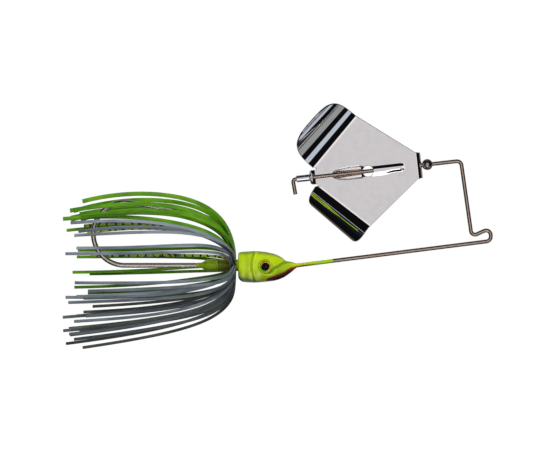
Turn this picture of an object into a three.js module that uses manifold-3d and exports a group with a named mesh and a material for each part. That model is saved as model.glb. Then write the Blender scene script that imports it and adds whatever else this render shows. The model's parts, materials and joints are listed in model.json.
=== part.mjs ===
// A buzzbait: a surface fishing lure on one bent wire, with a lead head, a hook, a skirt of strands
// and a propeller blade that turns on the upper arm.
// Millimetres. +X is forward (towards the nose), +Z is up and +Y is the lure's left side.
// The origin is the line tie, on the inside of the wire's open bend, where the line pulls.
// The pieces are laid out from the centre of the head's rear face, on the line of the hook shank,
// and the whole lure is then moved so that its line tie is at the origin.
import * as THREE from 'three';
import { mergeVertices } from 'three/addons/utils/BufferGeometryUtils.js';
import Module from 'manifold-3d';

const wasm = await Module();
wasm.setup();

const DEG = Math.PI / 180;

// Driving dimensions
const WIRE_D = 1.27;
const SHANK_D = 1.6;
const RUN_GAP = 0.2; // around the wire, inside the pieces that turn or slide on it
const CAST_GAP = 0.2; // around the wire and the hook, inside the lead
const CUT_OVER = 1; // how far a cutting tool runs past what it cuts
const LINE_TIE_X = 80.2; // the middle of the open bend's upright
const LINE_TIE_Z = 9.3;
const HEAD_LENGTH = 17.8;
const EYE_X = 8.63;
const EYE_Z = -0.38;
const SHEET = 0.5; // the blade's thickness
const ARM_PITCH = 6.36 * DEG; // the upper arm rises forward
const ARM_HOLE = new THREE.Vector3(41.24, 0, 29.9); // where the upper arm passes through the blade
const HOOK_BEND_R = 10;
const HOOK_BEND_X = -36;
const STRANDS = 48;
const STRAND_W = 0.9;
const STRAND_T = 0.35;

const FINISH = {
  lead: { color: 0xb8d61a, roughness: 0.3, metalness: 0.0 },
  hook: { color: 0x8a8078, roughness: 0.3, metalness: 1.0 },
  wire: { color: 0x9a948e, roughness: 0.25, metalness: 1.0 },
  bead: { color: 0x202226, roughness: 0.12, metalness: 1.0 },
  rivet: { color: 0xd8dade, roughness: 0.15, metalness: 1.0 },
  chrome: { color: 0xe6e6ea, roughness: 0.05, metalness: 1.0 },
  foil: { color: 0xd89a20, roughness: 0.2, metalness: 0.6 },
  resin: { color: 0x101210, roughness: 0.04, metalness: 0.0 },
  band: { color: 0x8c8f24, roughness: 0.5, metalness: 0.0 },
  green: { color: 0x5c9a1c, roughness: 0.4, metalness: 0.0 },
  grey: { color: 0x76848e, roughness: 0.35, metalness: 0.1 },
  barred: { color: 0xa8c818, roughness: 0.35, metalness: 0.0 },
};

// ---------------------------------------------------------------- helpers

function named(name, geometry, finish) {
  const mesh = new THREE.Mesh(geometry, new THREE.MeshStandardMaterial(FINISH[finish]));
  mesh.name = name;
  return mesh;
}

// A closed geometry as a manifold-3d solid.
function solidOf(geometry) {
  const bare = geometry.clone();
  bare.deleteAttribute('normal');
  bare.deleteAttribute('uv');
  const merged = mergeVertices(bare, 1e-4);
  return new wasm.Manifold(new wasm.Mesh({
    numProp: 3,
    vertProperties: merged.attributes.position.array,
    triVerts: new Uint32Array(merged.index.array),
  }));
}

function geometryOf(solid) {
  const mesh = solid.getMesh();
  const geometry = new THREE.BufferGeometry();
  geometry.setAttribute('position', new THREE.BufferAttribute(new Float32Array(mesh.vertProperties), 3));
  geometry.setIndex(new THREE.BufferAttribute(new Uint32Array(mesh.triVerts), 1));
  return geometry;
}

// A path in the plane y = 0 through given stations, sampled exactly at them.
class StationPath extends THREE.Curve {
  constructor(stations) {
    super();
    this.stations = stations.map(([x, z]) => new THREE.Vector3(x, 0, z));
    this.spans = stations.length - 1;
  }

  getUtoTmapping(u) {
    return u;
  }

  getPoint(t, target = new THREE.Vector3()) {
    const at = t * this.spans;
    const i = Math.min(Math.floor(at), this.spans - 1);
    return target.lerpVectors(this.stations[i], this.stations[i + 1], at - i);
  }

  getTangent(t, target = new THREE.Vector3()) {
    const i = Math.round(t * this.spans);
    const way = (j) => this.stations[j + 1].clone().sub(this.stations[j]).normalize();
    const before = way(Math.max(i - 1, 0));
    const after = way(Math.min(i, this.spans - 1));
    return target.copy(before).add(after).normalize();
  }
}

// A profile pushed along stations in the plane y = 0.
function sweep(profile, stations) {
  return new THREE.ExtrudeGeometry(profile, {
    steps: stations.length - 1,
    extrudePath: new StationPath(stations),
    bevelEnabled: false,
  });
}

// A regular polygon whose flats lie at the given radius, with a flat facing each axis.
function roundProfile(radius, sides = 12) {
  const corner = radius / Math.cos(Math.PI / sides);
  const points = [];
  for (let i = 0; i < sides; i++) {
    const a = (i + 0.5) * 2 * Math.PI / sides;
    points.push(new THREE.Vector2(corner * Math.cos(a), corner * Math.sin(a)));
  }
  return new THREE.Shape(points);
}

function rod(radius, stations, sides) {
  return sweep(roundProfile(radius, sides), stations);
}

// Stations along a polyline whose inner corners are rounded: each corner is [x, z, bend radius].
function bentStations(corners, stepAngle = 12 * DEG) {
  const stations = [corners[0].slice(0, 2)];
  for (let i = 1; i < corners.length - 1; i++) {
    const corner = new THREE.Vector2(corners[i][0], corners[i][1]);
    const back = new THREE.Vector2(...corners[i - 1].slice(0, 2)).sub(corner).normalize();
    const on = new THREE.Vector2(...corners[i + 1].slice(0, 2)).sub(corner).normalize();
    const turn = Math.PI - Math.acos(back.dot(on));
    const middle = back.clone().add(on).normalize();
    const centre = corner.clone().addScaledVector(middle, corners[i][2] / Math.cos(turn / 2));
    const start = corner.clone().addScaledVector(back, corners[i][2] * Math.tan(turn / 2)).sub(centre);
    const way = Math.sign(back.cross(on)) * -1;
    const steps = Math.max(1, Math.ceil(turn / stepAngle));
    for (let k = 0; k <= steps; k++) {
      const spoke = start.clone().rotateAround(new THREE.Vector2(), way * turn * k / steps);
      stations.push([centre.x + spoke.x, centre.y + spoke.y]);
    }
  }
  stations.push(corners[corners.length - 1].slice(0, 2));
  return stations;
}

// A solid turned about the X axis from a closed profile of [x, radius].
function turned(profile, segments = 24) {
  const points = profile.map(([x, radius]) => new THREE.Vector2(radius, x));
  const geometry = new THREE.LatheGeometry(points, segments);
  return geometry.applyMatrix4(new THREE.Matrix4().set(
    0, 1, 0, 0,
    0, 0, 1, 0,
    1, 0, 0, 0,
    0, 0, 0, 1,
  ));
}

// A round bar along X.
function bar(x0, x1, radius, segments) {
  return turned([[x0, 0], [x0, radius], [x1, radius], [x1, 0]], segments);
}

// A round bar along Y.
function crossBar(y0, y1, radius, segments = 24) {
  return new THREE.CylinderGeometry(radius, radius, y1 - y0, segments).translate(0, (y0 + y1) / 2, 0);
}

// A flat panel with its outline given as [x, z], its thickness across y = 0.
function panel(points, thickness) {
  const shape = new THREE.Shape(points.map(([x, z]) => new THREE.Vector2(x, z)));
  const plate = new THREE.ExtrudeGeometry(shape, { depth: thickness, bevelEnabled: false });
  return plate.translate(0, 0, -thickness / 2).rotateX(Math.PI / 2);
}

// ---------------------------------------------------------------- wire form

const WIRE_R = WIRE_D / 2;
const WIRE_EYE_X = 10; // where the wire passes up through the hook's eye, inside the lead
const WIRE_UNDER_Z = -1.6;
const WIRE_EXIT = [18, -0.12];

// Where a point on the upper arm is, by its distance forward of the blade's hole.
function armPoint(s) {
  return [ARM_HOLE.x + s * Math.cos(ARM_PITCH), ARM_HOLE.z + s * Math.sin(ARM_PITCH)];
}

const ARM_FRONT = 29.65;
const ARM_REAR = -24.05;

// [x, z, bend radius] from the end inside the lead to the tail that stops the rivet.
const WIRE_CORNERS = [
  [WIRE_EYE_X, 2.3],
  [WIRE_EYE_X, WIRE_UNDER_Z, 1.1],
  [12.9, WIRE_UNDER_Z, 4],
  [...WIRE_EXIT, 8],
  [LINE_TIE_X, 7.75, 1.6],
  [LINE_TIE_X, 11.9, 1.5],
  [74.15, 9.15, 1.3],
  [...armPoint(ARM_FRONT), 1.5],
  [...armPoint(ARM_REAR), 0.9],
  [18.2, 22.5],
];

function wireForm() {
  return named('wire_form', rod(WIRE_R, bentStations(WIRE_CORNERS)), 'wire');
}

// ---------------------------------------------------------------- hook

const SHANK_R = SHANK_D / 2;
const HOOK_EYE_R = 1.7; // to the middle of the eye's wire
const HOOK_EYE_WIRE_R = 0.55;
const SHANK_FRONT = WIRE_EYE_X - HOOK_EYE_R;
const BEND_STEP = 90 * DEG / 9.5; // one facet of the bend is square to the shank
const BEND_STEPS = 20;
const LEG_LENGTH = 12.5;
const POINT_LENGTH = 4.2;
const POINT_BASE_R = SHANK_R * 0.98;
const POINT_LAP = 0.1; // how far the point starts inside the leg
const BARB_T = 0.5;
const BARB_OUTLINE = [[-2.6, -1.45], [1.2, -0.2], [-0.9, -0.2]]; // along and out from the leg's end

// The bend turns from the shank round to the point's leg, which closes in a little.
function bendSpoke(angle) {
  return [HOOK_BEND_X - HOOK_BEND_R * Math.sin(angle), HOOK_BEND_R * (1 - Math.cos(angle))];
}

function hookEye(gap) {
  const ring = new THREE.TorusGeometry(HOOK_EYE_R, HOOK_EYE_WIRE_R + gap, 12, 24);
  return solidOf(ring.translate(WIRE_EYE_X, 0, 0));
}

function hook() {
  const stations = [[SHANK_FRONT, 0]];
  for (let i = 0; i <= BEND_STEPS; i++) stations.push(bendSpoke(i * BEND_STEP));
  const closing = BEND_STEPS * BEND_STEP - Math.PI;
  const along = [Math.cos(closing), -Math.sin(closing)];
  const [x, z] = stations[stations.length - 1];
  const legEnd = [x + along[0] * LEG_LENGTH, z + along[1] * LEG_LENGTH];
  stations.push(legEnd);

  const point = new THREE.ConeGeometry(POINT_BASE_R, POINT_LENGTH, 12);
  point.rotateZ(-Math.PI / 2).rotateY(closing);
  const tipMiddle = POINT_LENGTH / 2 - POINT_LAP;
  point.translate(legEnd[0] + along[0] * tipMiddle, 0, legEnd[1] + along[1] * tipMiddle);

  const barb = panel(BARB_OUTLINE, BARB_T).rotateY(closing).translate(legEnd[0], 0, legEnd[1]);

  const whole = solidOf(rod(SHANK_R, stations))
    .add(solidOf(point))
    .add(solidOf(barb))
    .add(hookEye(0));
  return named('hook', geometryOf(whole), 'hook');
}

// ---------------------------------------------------------------- head

// Sections of the head: [x, top, bottom, half width].
const HEAD_SECTIONS = [
  [0, 3.3, -3.5, 3.1],
  [0.35, 4.1, -4.4, 3.6],
  [1.2, 4.3, -5.14, 3.85],
  [3.4, 4.5, -5.5, 4.0],
  [5.2, 4.54, -5.48, 4.05],
  [7.0, 4.45, -5.4, 4.0],
  [8.8, 4.25, -5.2, 3.9],
  [11.6, 3.6, -4.9, 3.4],
  [13.4, 2.8, -4.3, 2.75],
  [15.2, 1.6, -3.4, 2.0],
  [16.6, 1.15, -2.35, 1.45],
  [HEAD_LENGTH, 0.95, -1.4, 1.1],
];
const GROOVE_R = 1.35; // the neck under the skirt band
const KEEPER_R = 1.85;
const SHANK_SLEEVE_END = -12.6;
const COLLAR_PROFILE = [
  [0.5, 0],
  [0.5, KEEPER_R],
  [-0.6, KEEPER_R],
  [-0.6, GROOVE_R],
  [-6.4, GROOVE_R],
  [-6.4, KEEPER_R],
  [-7.3, KEEPER_R],
  [-7.5, KEEPER_R + 0.12],
  [-9.7, KEEPER_R + 0.07],
  [-11.5, 1.25],
  [SHANK_SLEEVE_END, 1.2],
  [SHANK_SLEEVE_END, 0],
].reverse();
const SHANK_HOLE_R = SHANK_R + CAST_GAP + 0.05; // its flats clear the shank's corners
const HOOK_EYE_GAP = 0.3;
const EYE_SEAT_R = 2.04;
const EYE_SEAT_ROOT = 3.0; // the seat's rim starts inside the head, at this distance from y = 0
const EYE_SEAT_FLOOR = 3.3;
const EYE_SEAT_TOP = 4.08;
const EYE_R = 1.65;
const EYE_GAP = 0.1;
const FOIL_T = 0.15;
const FOIL_LIFT = 0.05;
const DOME_LIFT = 0.25;
const DOME_HEIGHT = 0.75;
const DOME_RIM = 0.25; // the straight part of the dome's side

// Elliptical sections joined nose to tail: a lathed unit bar with each ring moved to its section.
function loft(sections, segments) {
  const unit = [[sections[0][0], 0]];
  for (const [x] of sections) unit.push([x, 1]);
  unit.push([sections[sections.length - 1][0], 0]);
  const geometry = turned(unit, segments);
  const place = geometry.attributes.position;
  for (let i = 0; i < place.count; i++) {
    const x = place.getX(i);
    const [, top, bottom, half] = sections.find(([at]) => Math.abs(at - x) < 1e-4);
    const middle = (top + bottom) / 2;
    place.setY(i, place.getY(i) * half);
    place.setZ(i, middle + place.getZ(i) * (top - bottom) / 2);
  }
  return geometry;
}

function eyeBar(side, y0, y1, radius) {
  const barAlongY = crossBar(y0, y1, radius).translate(EYE_X, 0, EYE_Z);
  return side > 0 ? barAlongY : barAlongY.rotateX(Math.PI).translate(0, 0, 2 * EYE_Z);
}

// The wire's path inside the lead, with a little more at its top end and carried on past the nose.
function buriedCorners() {
  const [start, under, rising, exit, bend] = WIRE_CORNERS;
  const exitAt = new THREE.Vector2(exit[0], exit[1]);
  const ahead = new THREE.Vector2(bend[0], bend[1]).sub(exitAt).normalize();
  const pastNose = exitAt.addScaledVector(ahead, HEAD_LENGTH / 3);
  return [[start[0], start[1] + CAST_GAP], under, rising, exit, [pastNose.x, pastNose.y]];
}

function headCasting() {
  let solid = solidOf(loft(HEAD_SECTIONS, 28)).add(solidOf(turned(COLLAR_PROFILE)));
  for (const side of [1, -1]) {
    solid = solid.add(solidOf(eyeBar(side, EYE_SEAT_ROOT, EYE_SEAT_TOP, EYE_SEAT_R)));
    solid = solid.subtract(solidOf(eyeBar(side, EYE_SEAT_FLOOR, EYE_SEAT_TOP + CUT_OVER, EYE_R + EYE_GAP)));
  }
  const shankHole = solidOf(bar(SHANK_SLEEVE_END - CUT_OVER, SHANK_FRONT, SHANK_HOLE_R, 16));
  const wireHole = solidOf(rod(WIRE_R + CAST_GAP, bentStations(buriedCorners())));
  solid = solid.subtract(shankHole).subtract(hookEye(HOOK_EYE_GAP)).subtract(wireHole);
  return named('head_casting', geometryOf(solid), 'lead');
}

function eyeFoil(side) {
  const name = side > 0 ? 'eye_foil_left' : 'eye_foil_right';
  const back = EYE_SEAT_FLOOR + FOIL_LIFT;
  return named(name, eyeBar(side, back, back + FOIL_T, EYE_R), 'foil');
}

function eyeDome(side) {
  const profile = [[0, 0], [0, EYE_R], [DOME_RIM, EYE_R]];
  for (const a of [25, 50, 72]) {
    profile.push([DOME_RIM + (DOME_HEIGHT - DOME_RIM) * Math.sin(a * DEG), EYE_R * Math.cos(a * DEG)]);
  }
  profile.push([DOME_HEIGHT, 0]);
  const dome = turned(profile).rotateZ(Math.PI / 2).translate(0, EYE_SEAT_FLOOR + DOME_LIFT, 0);
  if (side < 0) dome.rotateZ(Math.PI);
  const name = side > 0 ? 'eye_dome_left' : 'eye_dome_right';
  return named(name, dome.translate(EYE_X, 0, EYE_Z), 'resin');
}

// ---------------------------------------------------------------- pieces on the upper arm
// In this group X runs forward along the arm from the blade's hole, and -Y is its outer face.

const BORE_R = WIRE_R + RUN_GAP;
const BEAD_R = 1.75;
const BEAD_AT = 18.9;
const RIVET_REAR = -22.95;
const RIVET_FRONT = -18.15;
const FLANGE_T = 0.45;
const FLANGE_R = 2.15;
const BARREL_R = 1.08;

function bead() {
  const steps = 10;
  const mouth = Math.asin(BORE_R / BEAD_R);
  const profile = [];
  for (let i = 0; i <= steps; i++) {
    const a = mouth + (Math.PI - 2 * mouth) * i / steps;
    profile.push([-BEAD_R * Math.cos(a), BEAD_R * Math.sin(a)]);
  }
  profile.push(profile[0].slice());
  const mesh = named('bead', turned(profile, 20), 'bead');
  mesh.position.x = BEAD_AT;
  return mesh;
}

function rivet() {
  const profile = [
    [RIVET_REAR, BORE_R],
    [RIVET_REAR, BARREL_R],
    [RIVET_FRONT - FLANGE_T, BARREL_R],
    [RIVET_FRONT - FLANGE_T, FLANGE_R],
    [RIVET_FRONT, FLANGE_R],
    [RIVET_FRONT, BORE_R],
    [RIVET_REAR, BORE_R],
  ];
  return named('rivet', turned(profile, 24), 'rivet');
}

// The blade's sheet leans across the arm, so that the arm runs outside its rear half and inside its
// front half.
const SHEET_LEAN = 6 * DEG;
const REAR_EDGE = -17.4;
const FRONT_EDGE = 16.6;
const REAR_TAB_HALF = 2.3;
const FRONT_TAB_HALF = 3.5;
const FRONT_SHOULDER = [16.2, 4.3]; // where the front edge starts, beside the tab
const TAB_REACH = 2.1; // how far the end tabs stand past the arm
const TAB_LAP = 0.1; // into the panel's end
const BEND_START = new THREE.Vector2(-16.5, 3.8); // of the wing's bend line, along and out from the arm
const BEND_END = new THREE.Vector2(-1.8, 17.9);
const WING_HALF = 10.75; // along the bend line
const WING_CENTRE = 9.6;
const WING_DEPTH = 13.4; // of the flat wing, out from the bend line
const WING_ROOT = 0.3; // how far the wing starts inside the panel
const WING_RIM_ANGLE = 84 * DEG; // rows are spaced by the sine, so they close up towards the rim
const WING_T = SHEET - 0.04; // a little thinner, so that no face lies on the panel's
const WING_POWER = 2.6; // the wing's outline is half a superellipse
const UPPER_CURL_R = 9.7;
const LOWER_CURL_R = 6.4;
const CHANNEL_R = 1.3; // inside the pressed channels that clear the arm
const CHANNEL_LENGTH = 12.2;
const CHANNEL_RUNOUT = 1.5; // how far the groove goes on past each channel
const SLOT_HALF = 1.55; // half the length of the opening between the channels
const TAB_BORE_R = BORE_R + 0.1;

// A wing of the sheet rolled round a line parallel to its bend line, towards -Y.
function wing(curlR) {
  const geometry = new THREE.BoxGeometry(1, 1, 1, 14, 12, 1);
  const place = geometry.attributes.position;
  const along = BEND_END.clone().sub(BEND_START).normalize();
  const out = new THREE.Vector2(-along.y, along.x);
  for (let i = 0; i < place.count; i++) {
    const depth = WING_DEPTH * Math.sin(WING_RIM_ANGLE * (place.getX(i) + 0.5)) - WING_ROOT;
    const full = Math.max(0, depth) / WING_DEPTH;
    const half = WING_HALF * Math.pow(1 - Math.pow(full, WING_POWER), 1 / WING_POWER);
    const p = WING_CENTRE + 2 * half * place.getY(i);
    const turn = depth / curlR;
    const shell = curlR + place.getZ(i) * WING_T;
    const q = shell * Math.sin(turn);
    const rise = curlR - shell * Math.cos(turn);
    place.setXYZ(
      i,
      BEND_START.x + p * along.x + q * out.x,
      -rise,
      BEND_START.y + p * along.y + q * out.y,
    );
  }
  return geometry;
}

// The end tabs stand square to the arm, which passes through them.
function endTab(edge, side, half) {
  const foot = Math.tan(SHEET_LEAN) * side * edge; // from the arm back to the leaning sheet
  const tab = new THREE.BoxGeometry(SHEET, TAB_REACH + foot, 2 * half);
  return solidOf(tab.translate(edge + side * (SHEET / 2 - TAB_LAP), side * (TAB_REACH - foot) / 2, 0));
}

// Half of a tube round the arm, on one side of the leaning sheet.
function channel(x0, x1, side) {
  const outer = CHANNEL_R + SHEET;
  const tube = turned([[x0, CHANNEL_R], [x0, outer], [x1, outer], [x1, CHANNEL_R], [x0, CHANNEL_R]]);
  const room = new THREE.BoxGeometry(3 * CHANNEL_LENGTH, 2 * outer, 3 * outer).translate(0, side * outer, 0);
  return solidOf(tube).intersect(solidOf(room.rotateZ(-SHEET_LEAN)));
}

function blade() {
  const outline = [
    [FRONT_EDGE, FRONT_TAB_HALF],
    FRONT_SHOULDER,
    [BEND_END.x, BEND_END.y],
    [BEND_START.x, BEND_START.y],
    [BEND_START.x, REAR_TAB_HALF],
    [REAR_EDGE, REAR_TAB_HALF],
  ];
  const mirrored = outline.map(([x, z]) => [x, -z]).reverse();
  const lean = (geometry) => solidOf(geometry.rotateZ(-SHEET_LEAN));
  const sheet = lean(panel([...outline, ...mirrored], SHEET));
  const upper = lean(wing(UPPER_CURL_R));
  const lower = lean(wing(LOWER_CURL_R).rotateX(Math.PI));

  const groove = CHANNEL_LENGTH + CHANNEL_RUNOUT;
  const whole = sheet
    .add(upper)
    .add(lower)
    .subtract(solidOf(bar(-groove, groove, CHANNEL_R, 24)))
    .add(channel(-CHANNEL_LENGTH, -SLOT_HALF, 1))
    .add(channel(SLOT_HALF, CHANNEL_LENGTH, -1))
    .add(endTab(REAR_EDGE, -1, REAR_TAB_HALF))
    .add(endTab(FRONT_EDGE, 1, FRONT_TAB_HALF))
    .subtract(solidOf(bar(REAR_EDGE - CUT_OVER, FRONT_EDGE + CUT_OVER, TAB_BORE_R, 16)));
  return named('blade', geometryOf(whole), 'chrome');
}

function armPieces() {
  const group = new THREE.Group();
  group.position.copy(ARM_HOLE);
  group.rotation.y = -ARM_PITCH;
  group.add(bead(), rivet(), blade());
  return group;
}

// ---------------------------------------------------------------- skirt

const HUB_X = -0.8; // the middle of the foremost ring of strands
const HUB_R = 2.12; // where the strands start
const RING_PITCH = 0.5;
const RING_ORDER = [0, 2, 3, 1]; // which ring each strand belongs to, going round
const RING_SCALE = [1, 0.94, 0.88, 0.82];
const HOOK_SECTOR = 13 * DEG; // kept free of strands on each side of the hook's plane
const STRAND_LENGTH = 48.2; // of the shortest, straight back from the hub
const STRAND_STAGGER = 6; // cut ends are uneven
const GOLDEN = 0.618; // steps of this share of the stagger never repeat between neighbours
const BAND_REAR = -6.1;
const BAND_CHAMFER = 0.3;
const BAND_BORE_R = 1.5;
const BAND_EDGE_R = 1.75;
const GREEN_FROM = -125 * DEG;
const GREEN_TO = 55 * DEG;
const BARRED = [39, 41, 43];

function skirtBand() {
  const profile = [
    [BAND_REAR, BAND_BORE_R],
    [BAND_REAR, BAND_EDGE_R],
    [BAND_REAR + BAND_CHAMFER, KEEPER_R],
    [HUB_X - BAND_CHAMFER, KEEPER_R],
    [HUB_X, BAND_EDGE_R],
    [HUB_X, BAND_BORE_R],
    [BAND_REAR, BAND_BORE_R],
  ];
  return named('skirt_band', turned(profile), 'band');
}

// A strand leaves the hub outwards and bends back into a bell. Its own weight lowers it:
// strands on top close in at the tip, and those underneath hang out. So each size of the bell is its
// size at the side of the skirt, and how much that grows towards the top.
const BELL_RISE = [19.5, 5.5];
const BELL_SHOULDER_BACK = [16, 14];
const BELL_SHOULDER = [23, 4];
const BELL_TIP = [23, -2.6];
const BELL_SPANS = 11;

function strandStations(ring, around, length) {
  const size = ([level, growth]) => level + growth * Math.cos(around);
  const scale = RING_SCALE[ring];
  const bell = new THREE.CubicBezierCurve(
    new THREE.Vector2(0, HUB_R),
    new THREE.Vector2(0, scale * size(BELL_RISE)),
    new THREE.Vector2(size(BELL_SHOULDER_BACK), scale * size(BELL_SHOULDER)),
    new THREE.Vector2(length, scale * size(BELL_TIP)),
  );
  const hub = HUB_X - ring * RING_PITCH;
  return bell.getPoints(BELL_SPANS).map((p) => [hub - p.x, p.y]);
}

function strandFinish(number, around) {
  if (BARRED.includes(number)) return 'barred';
  const signed = around > Math.PI ? around - 2 * Math.PI : around;
  return signed > GREEN_FROM && signed < GREEN_TO ? 'green' : 'grey';
}

function strand(number) {
  const step = (2 * Math.PI - 2 * HOOK_SECTOR) / (STRANDS - 1);
  const around = HOOK_SECTOR + step * (number - 1);
  const ring = RING_ORDER[(number - 1) % RING_ORDER.length];
  const length = STRAND_LENGTH + STRAND_STAGGER * ((number * GOLDEN) % 1);
  const w = STRAND_W / 2;
  const t = STRAND_T / 2;
  const profile = new THREE.Shape([
    new THREE.Vector2(w, t),
    new THREE.Vector2(-w, t),
    new THREE.Vector2(-w, -t),
    new THREE.Vector2(w, -t),
  ]);
  const name = `strand_${String(number).padStart(2, '0')}`;
  const mesh = named(name, sweep(profile, strandStations(ring, around, length)), strandFinish(number, around));
  mesh.rotation.x = around;
  return mesh;
}

// ---------------------------------------------------------------- the whole lure

const buzzbait = new THREE.Group();
buzzbait.position.set(WIRE_R - LINE_TIE_X, 0, -LINE_TIE_Z);
buzzbait.add(wireForm(), hook(), headCasting());
for (const side of [1, -1]) buzzbait.add(eyeFoil(side), eyeDome(side));
buzzbait.add(armPieces(), skirtBand());
for (let number = 1; number <= STRANDS; number++) buzzbait.add(strand(number));

export default buzzbait;
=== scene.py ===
import json
import math
import random

import bpy
from mathutils import Matrix, Vector, kdtree
from mathutils.geometry import delaunay_2d_cdt

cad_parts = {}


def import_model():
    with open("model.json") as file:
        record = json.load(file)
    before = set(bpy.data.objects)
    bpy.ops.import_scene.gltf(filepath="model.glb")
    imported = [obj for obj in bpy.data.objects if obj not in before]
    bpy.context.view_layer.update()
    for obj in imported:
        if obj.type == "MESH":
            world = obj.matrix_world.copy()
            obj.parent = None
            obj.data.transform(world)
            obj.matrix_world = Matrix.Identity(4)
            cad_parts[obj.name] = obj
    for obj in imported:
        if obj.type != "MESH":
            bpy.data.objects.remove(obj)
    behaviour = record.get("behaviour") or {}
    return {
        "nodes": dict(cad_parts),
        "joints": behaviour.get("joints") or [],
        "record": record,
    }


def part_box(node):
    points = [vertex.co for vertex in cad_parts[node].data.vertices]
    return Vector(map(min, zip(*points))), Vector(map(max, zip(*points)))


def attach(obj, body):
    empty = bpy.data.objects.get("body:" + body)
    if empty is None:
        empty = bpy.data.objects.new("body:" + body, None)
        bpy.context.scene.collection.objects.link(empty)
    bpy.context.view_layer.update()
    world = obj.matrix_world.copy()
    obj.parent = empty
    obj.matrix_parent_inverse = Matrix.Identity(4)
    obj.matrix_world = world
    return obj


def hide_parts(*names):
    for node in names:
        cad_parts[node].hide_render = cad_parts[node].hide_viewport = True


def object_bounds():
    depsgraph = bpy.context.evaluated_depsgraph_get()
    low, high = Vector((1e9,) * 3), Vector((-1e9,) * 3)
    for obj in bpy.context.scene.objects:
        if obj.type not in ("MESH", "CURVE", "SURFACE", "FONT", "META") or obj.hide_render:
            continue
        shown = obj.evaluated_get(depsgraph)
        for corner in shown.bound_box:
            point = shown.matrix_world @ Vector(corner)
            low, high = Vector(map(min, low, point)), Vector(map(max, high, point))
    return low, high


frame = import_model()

CAD_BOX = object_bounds()

# The lure is laid out here in millimetres from the centre of the head's rear face, on the line of the
# hook's shank. A mesh is moved to the frame and scaled to metres when it is made.
# +X is forward, +Z is up, and the viewer is on the -Y side.
MM = 0.001
DEG = math.pi / 180


def joint(name):
    return next(j for j in frame["joints"] if j["name"] == name)


SKIRT_PIVOT_X = -3.0
HEAD_REAR = Vector(joint("skirt_turn")["pos_m"]) / MM - Vector((SKIRT_PIVOT_X, 0, 0))


def box_mm(node):
    low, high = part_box(node)
    return low / MM - HEAD_REAR, high / MM - HEAD_REAR


# ------------ sizes taken from the frame

WIRE_BOX = box_mm("wire_form")
HOOK_BOX = box_mm("hook")
EYE_BOX = box_mm("eye_foil_left")
DOME_BOX = box_mm("eye_dome_left")
BAND_BOX = box_mm("skirt_band")
ARM_AXIS = Vector(joint("blade_spin")["axis"])
ARM_HOLE = Vector(joint("blade_spin")["pos_m"]) / MM - HEAD_REAR
ARM_PITCH = math.atan2(ARM_AXIS.z, ARM_AXIS.x)
WIRE_R = (WIRE_BOX[1].y - WIRE_BOX[0].y) / 2
SHANK_R = -HOOK_BOX[0].z
HOOK_BEND_R = (HOOK_BOX[1].z - SHANK_R) / 2


# ------------ mesh helpers


def piece(name, verts, faces, material, body, nodes, slot, uvs=None):
    """A mesh object from millimetre vertices, riding on a body and standing for CAD nodes."""
    mesh = bpy.data.meshes.new(name)
    mesh.from_pydata([(Vector(v) + HEAD_REAR) * MM for v in verts], [], faces)
    mesh.validate()
    if uvs:
        layer = mesh.uv_layers.new(name="along")
        for loop in mesh.loops:
            layer.data[loop.index].uv = uvs[loop.vertex_index]
    mesh.polygons.foreach_set("use_smooth", [True] * len(mesh.polygons))
    mesh.materials.append(material)
    mesh.update()
    obj = bpy.data.objects.new(name, mesh)
    bpy.context.scene.collection.objects.link(obj)
    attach(obj, body)
    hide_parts(*nodes)
    return obj


def sharpen(obj, angle):
    """Splits the shading where faces meet at more than an angle."""
    obj.data.set_sharp_from_angle(angle=angle * DEG)


def bevel(obj, width, angle):
    mod = obj.modifiers.new("edges", "BEVEL")
    mod.width = width * MM
    mod.segments = 1
    mod.limit_method = "ANGLE"
    mod.angle_limit = angle * DEG


def fillet(corners, step=6):
    """Points along a 2D polyline whose inner corners, given as (x, z, radius), are rounded."""
    points = [Vector(corners[0][:2])]
    for before, corner, after in zip(corners, corners[1:], corners[2:]):
        at = Vector(corner[:2])
        radius = corner[2]
        back = (Vector(before[:2]) - at).normalized()
        on = (Vector(after[:2]) - at).normalized()
        turn = math.pi - back.angle(on)
        centre = at + (back + on).normalized() * radius / math.cos(turn / 2)
        spoke = at + back * radius * math.tan(turn / 2) - centre
        way = -1 if back.x * on.y - back.y * on.x > 0 else 1
        steps = max(2, math.ceil(turn / (step * DEG)))
        for k in range(steps + 1):
            points.append(centre + Matrix.Rotation(way * turn * k / steps, 2) @ spoke)
    points.append(Vector(corners[-1][:2]))
    return points


def skin(rows, around, closed=False):
    """Faces over rows of points that each go once around, with an end cap on both unless the rows close."""
    faces = []
    for i in range(rows if closed else rows - 1):
        j = (i + 1) % rows
        for k in range(around):
            n = (k + 1) % around
            faces.append((i * around + k, i * around + n, j * around + n, j * around + k))
    if not closed:
        faces.append(tuple(range(around))[::-1])
        faces.append(tuple((rows - 1) * around + k for k in range(around)))
    return faces


def tube(path, radius_at, sides=28):
    """Vertices, faces and (length, turn) uvs of a round bar along points in the plane y = 0."""
    verts, uvs = [], []
    length = 0
    for i, point in enumerate(path):
        before = path[max(i - 1, 0)]
        after = path[min(i + 1, len(path) - 1)]
        along = (after - before).normalized()
        length += (point - before).length
        radius = radius_at(length, point)
        for k in range(sides):
            a = 2 * math.pi * k / sides
            across = radius * math.cos(a)
            verts.append((point.x - along.y * across, radius * math.sin(a), point.y + along.x * across))
            uvs.append((length, k / sides))
    return verts, skin(len(path), sides), uvs


def lathe(profile, segments=48, closed=False):
    """Vertices and faces of a solid turned about X from (x, radius) points."""
    verts = []
    for x, radius in profile:
        for k in range(segments):
            a = 2 * math.pi * k / segments
            verts.append((x, radius * math.sin(a), radius * math.cos(a)))
    return verts, skin(len(profile), segments, closed)


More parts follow.
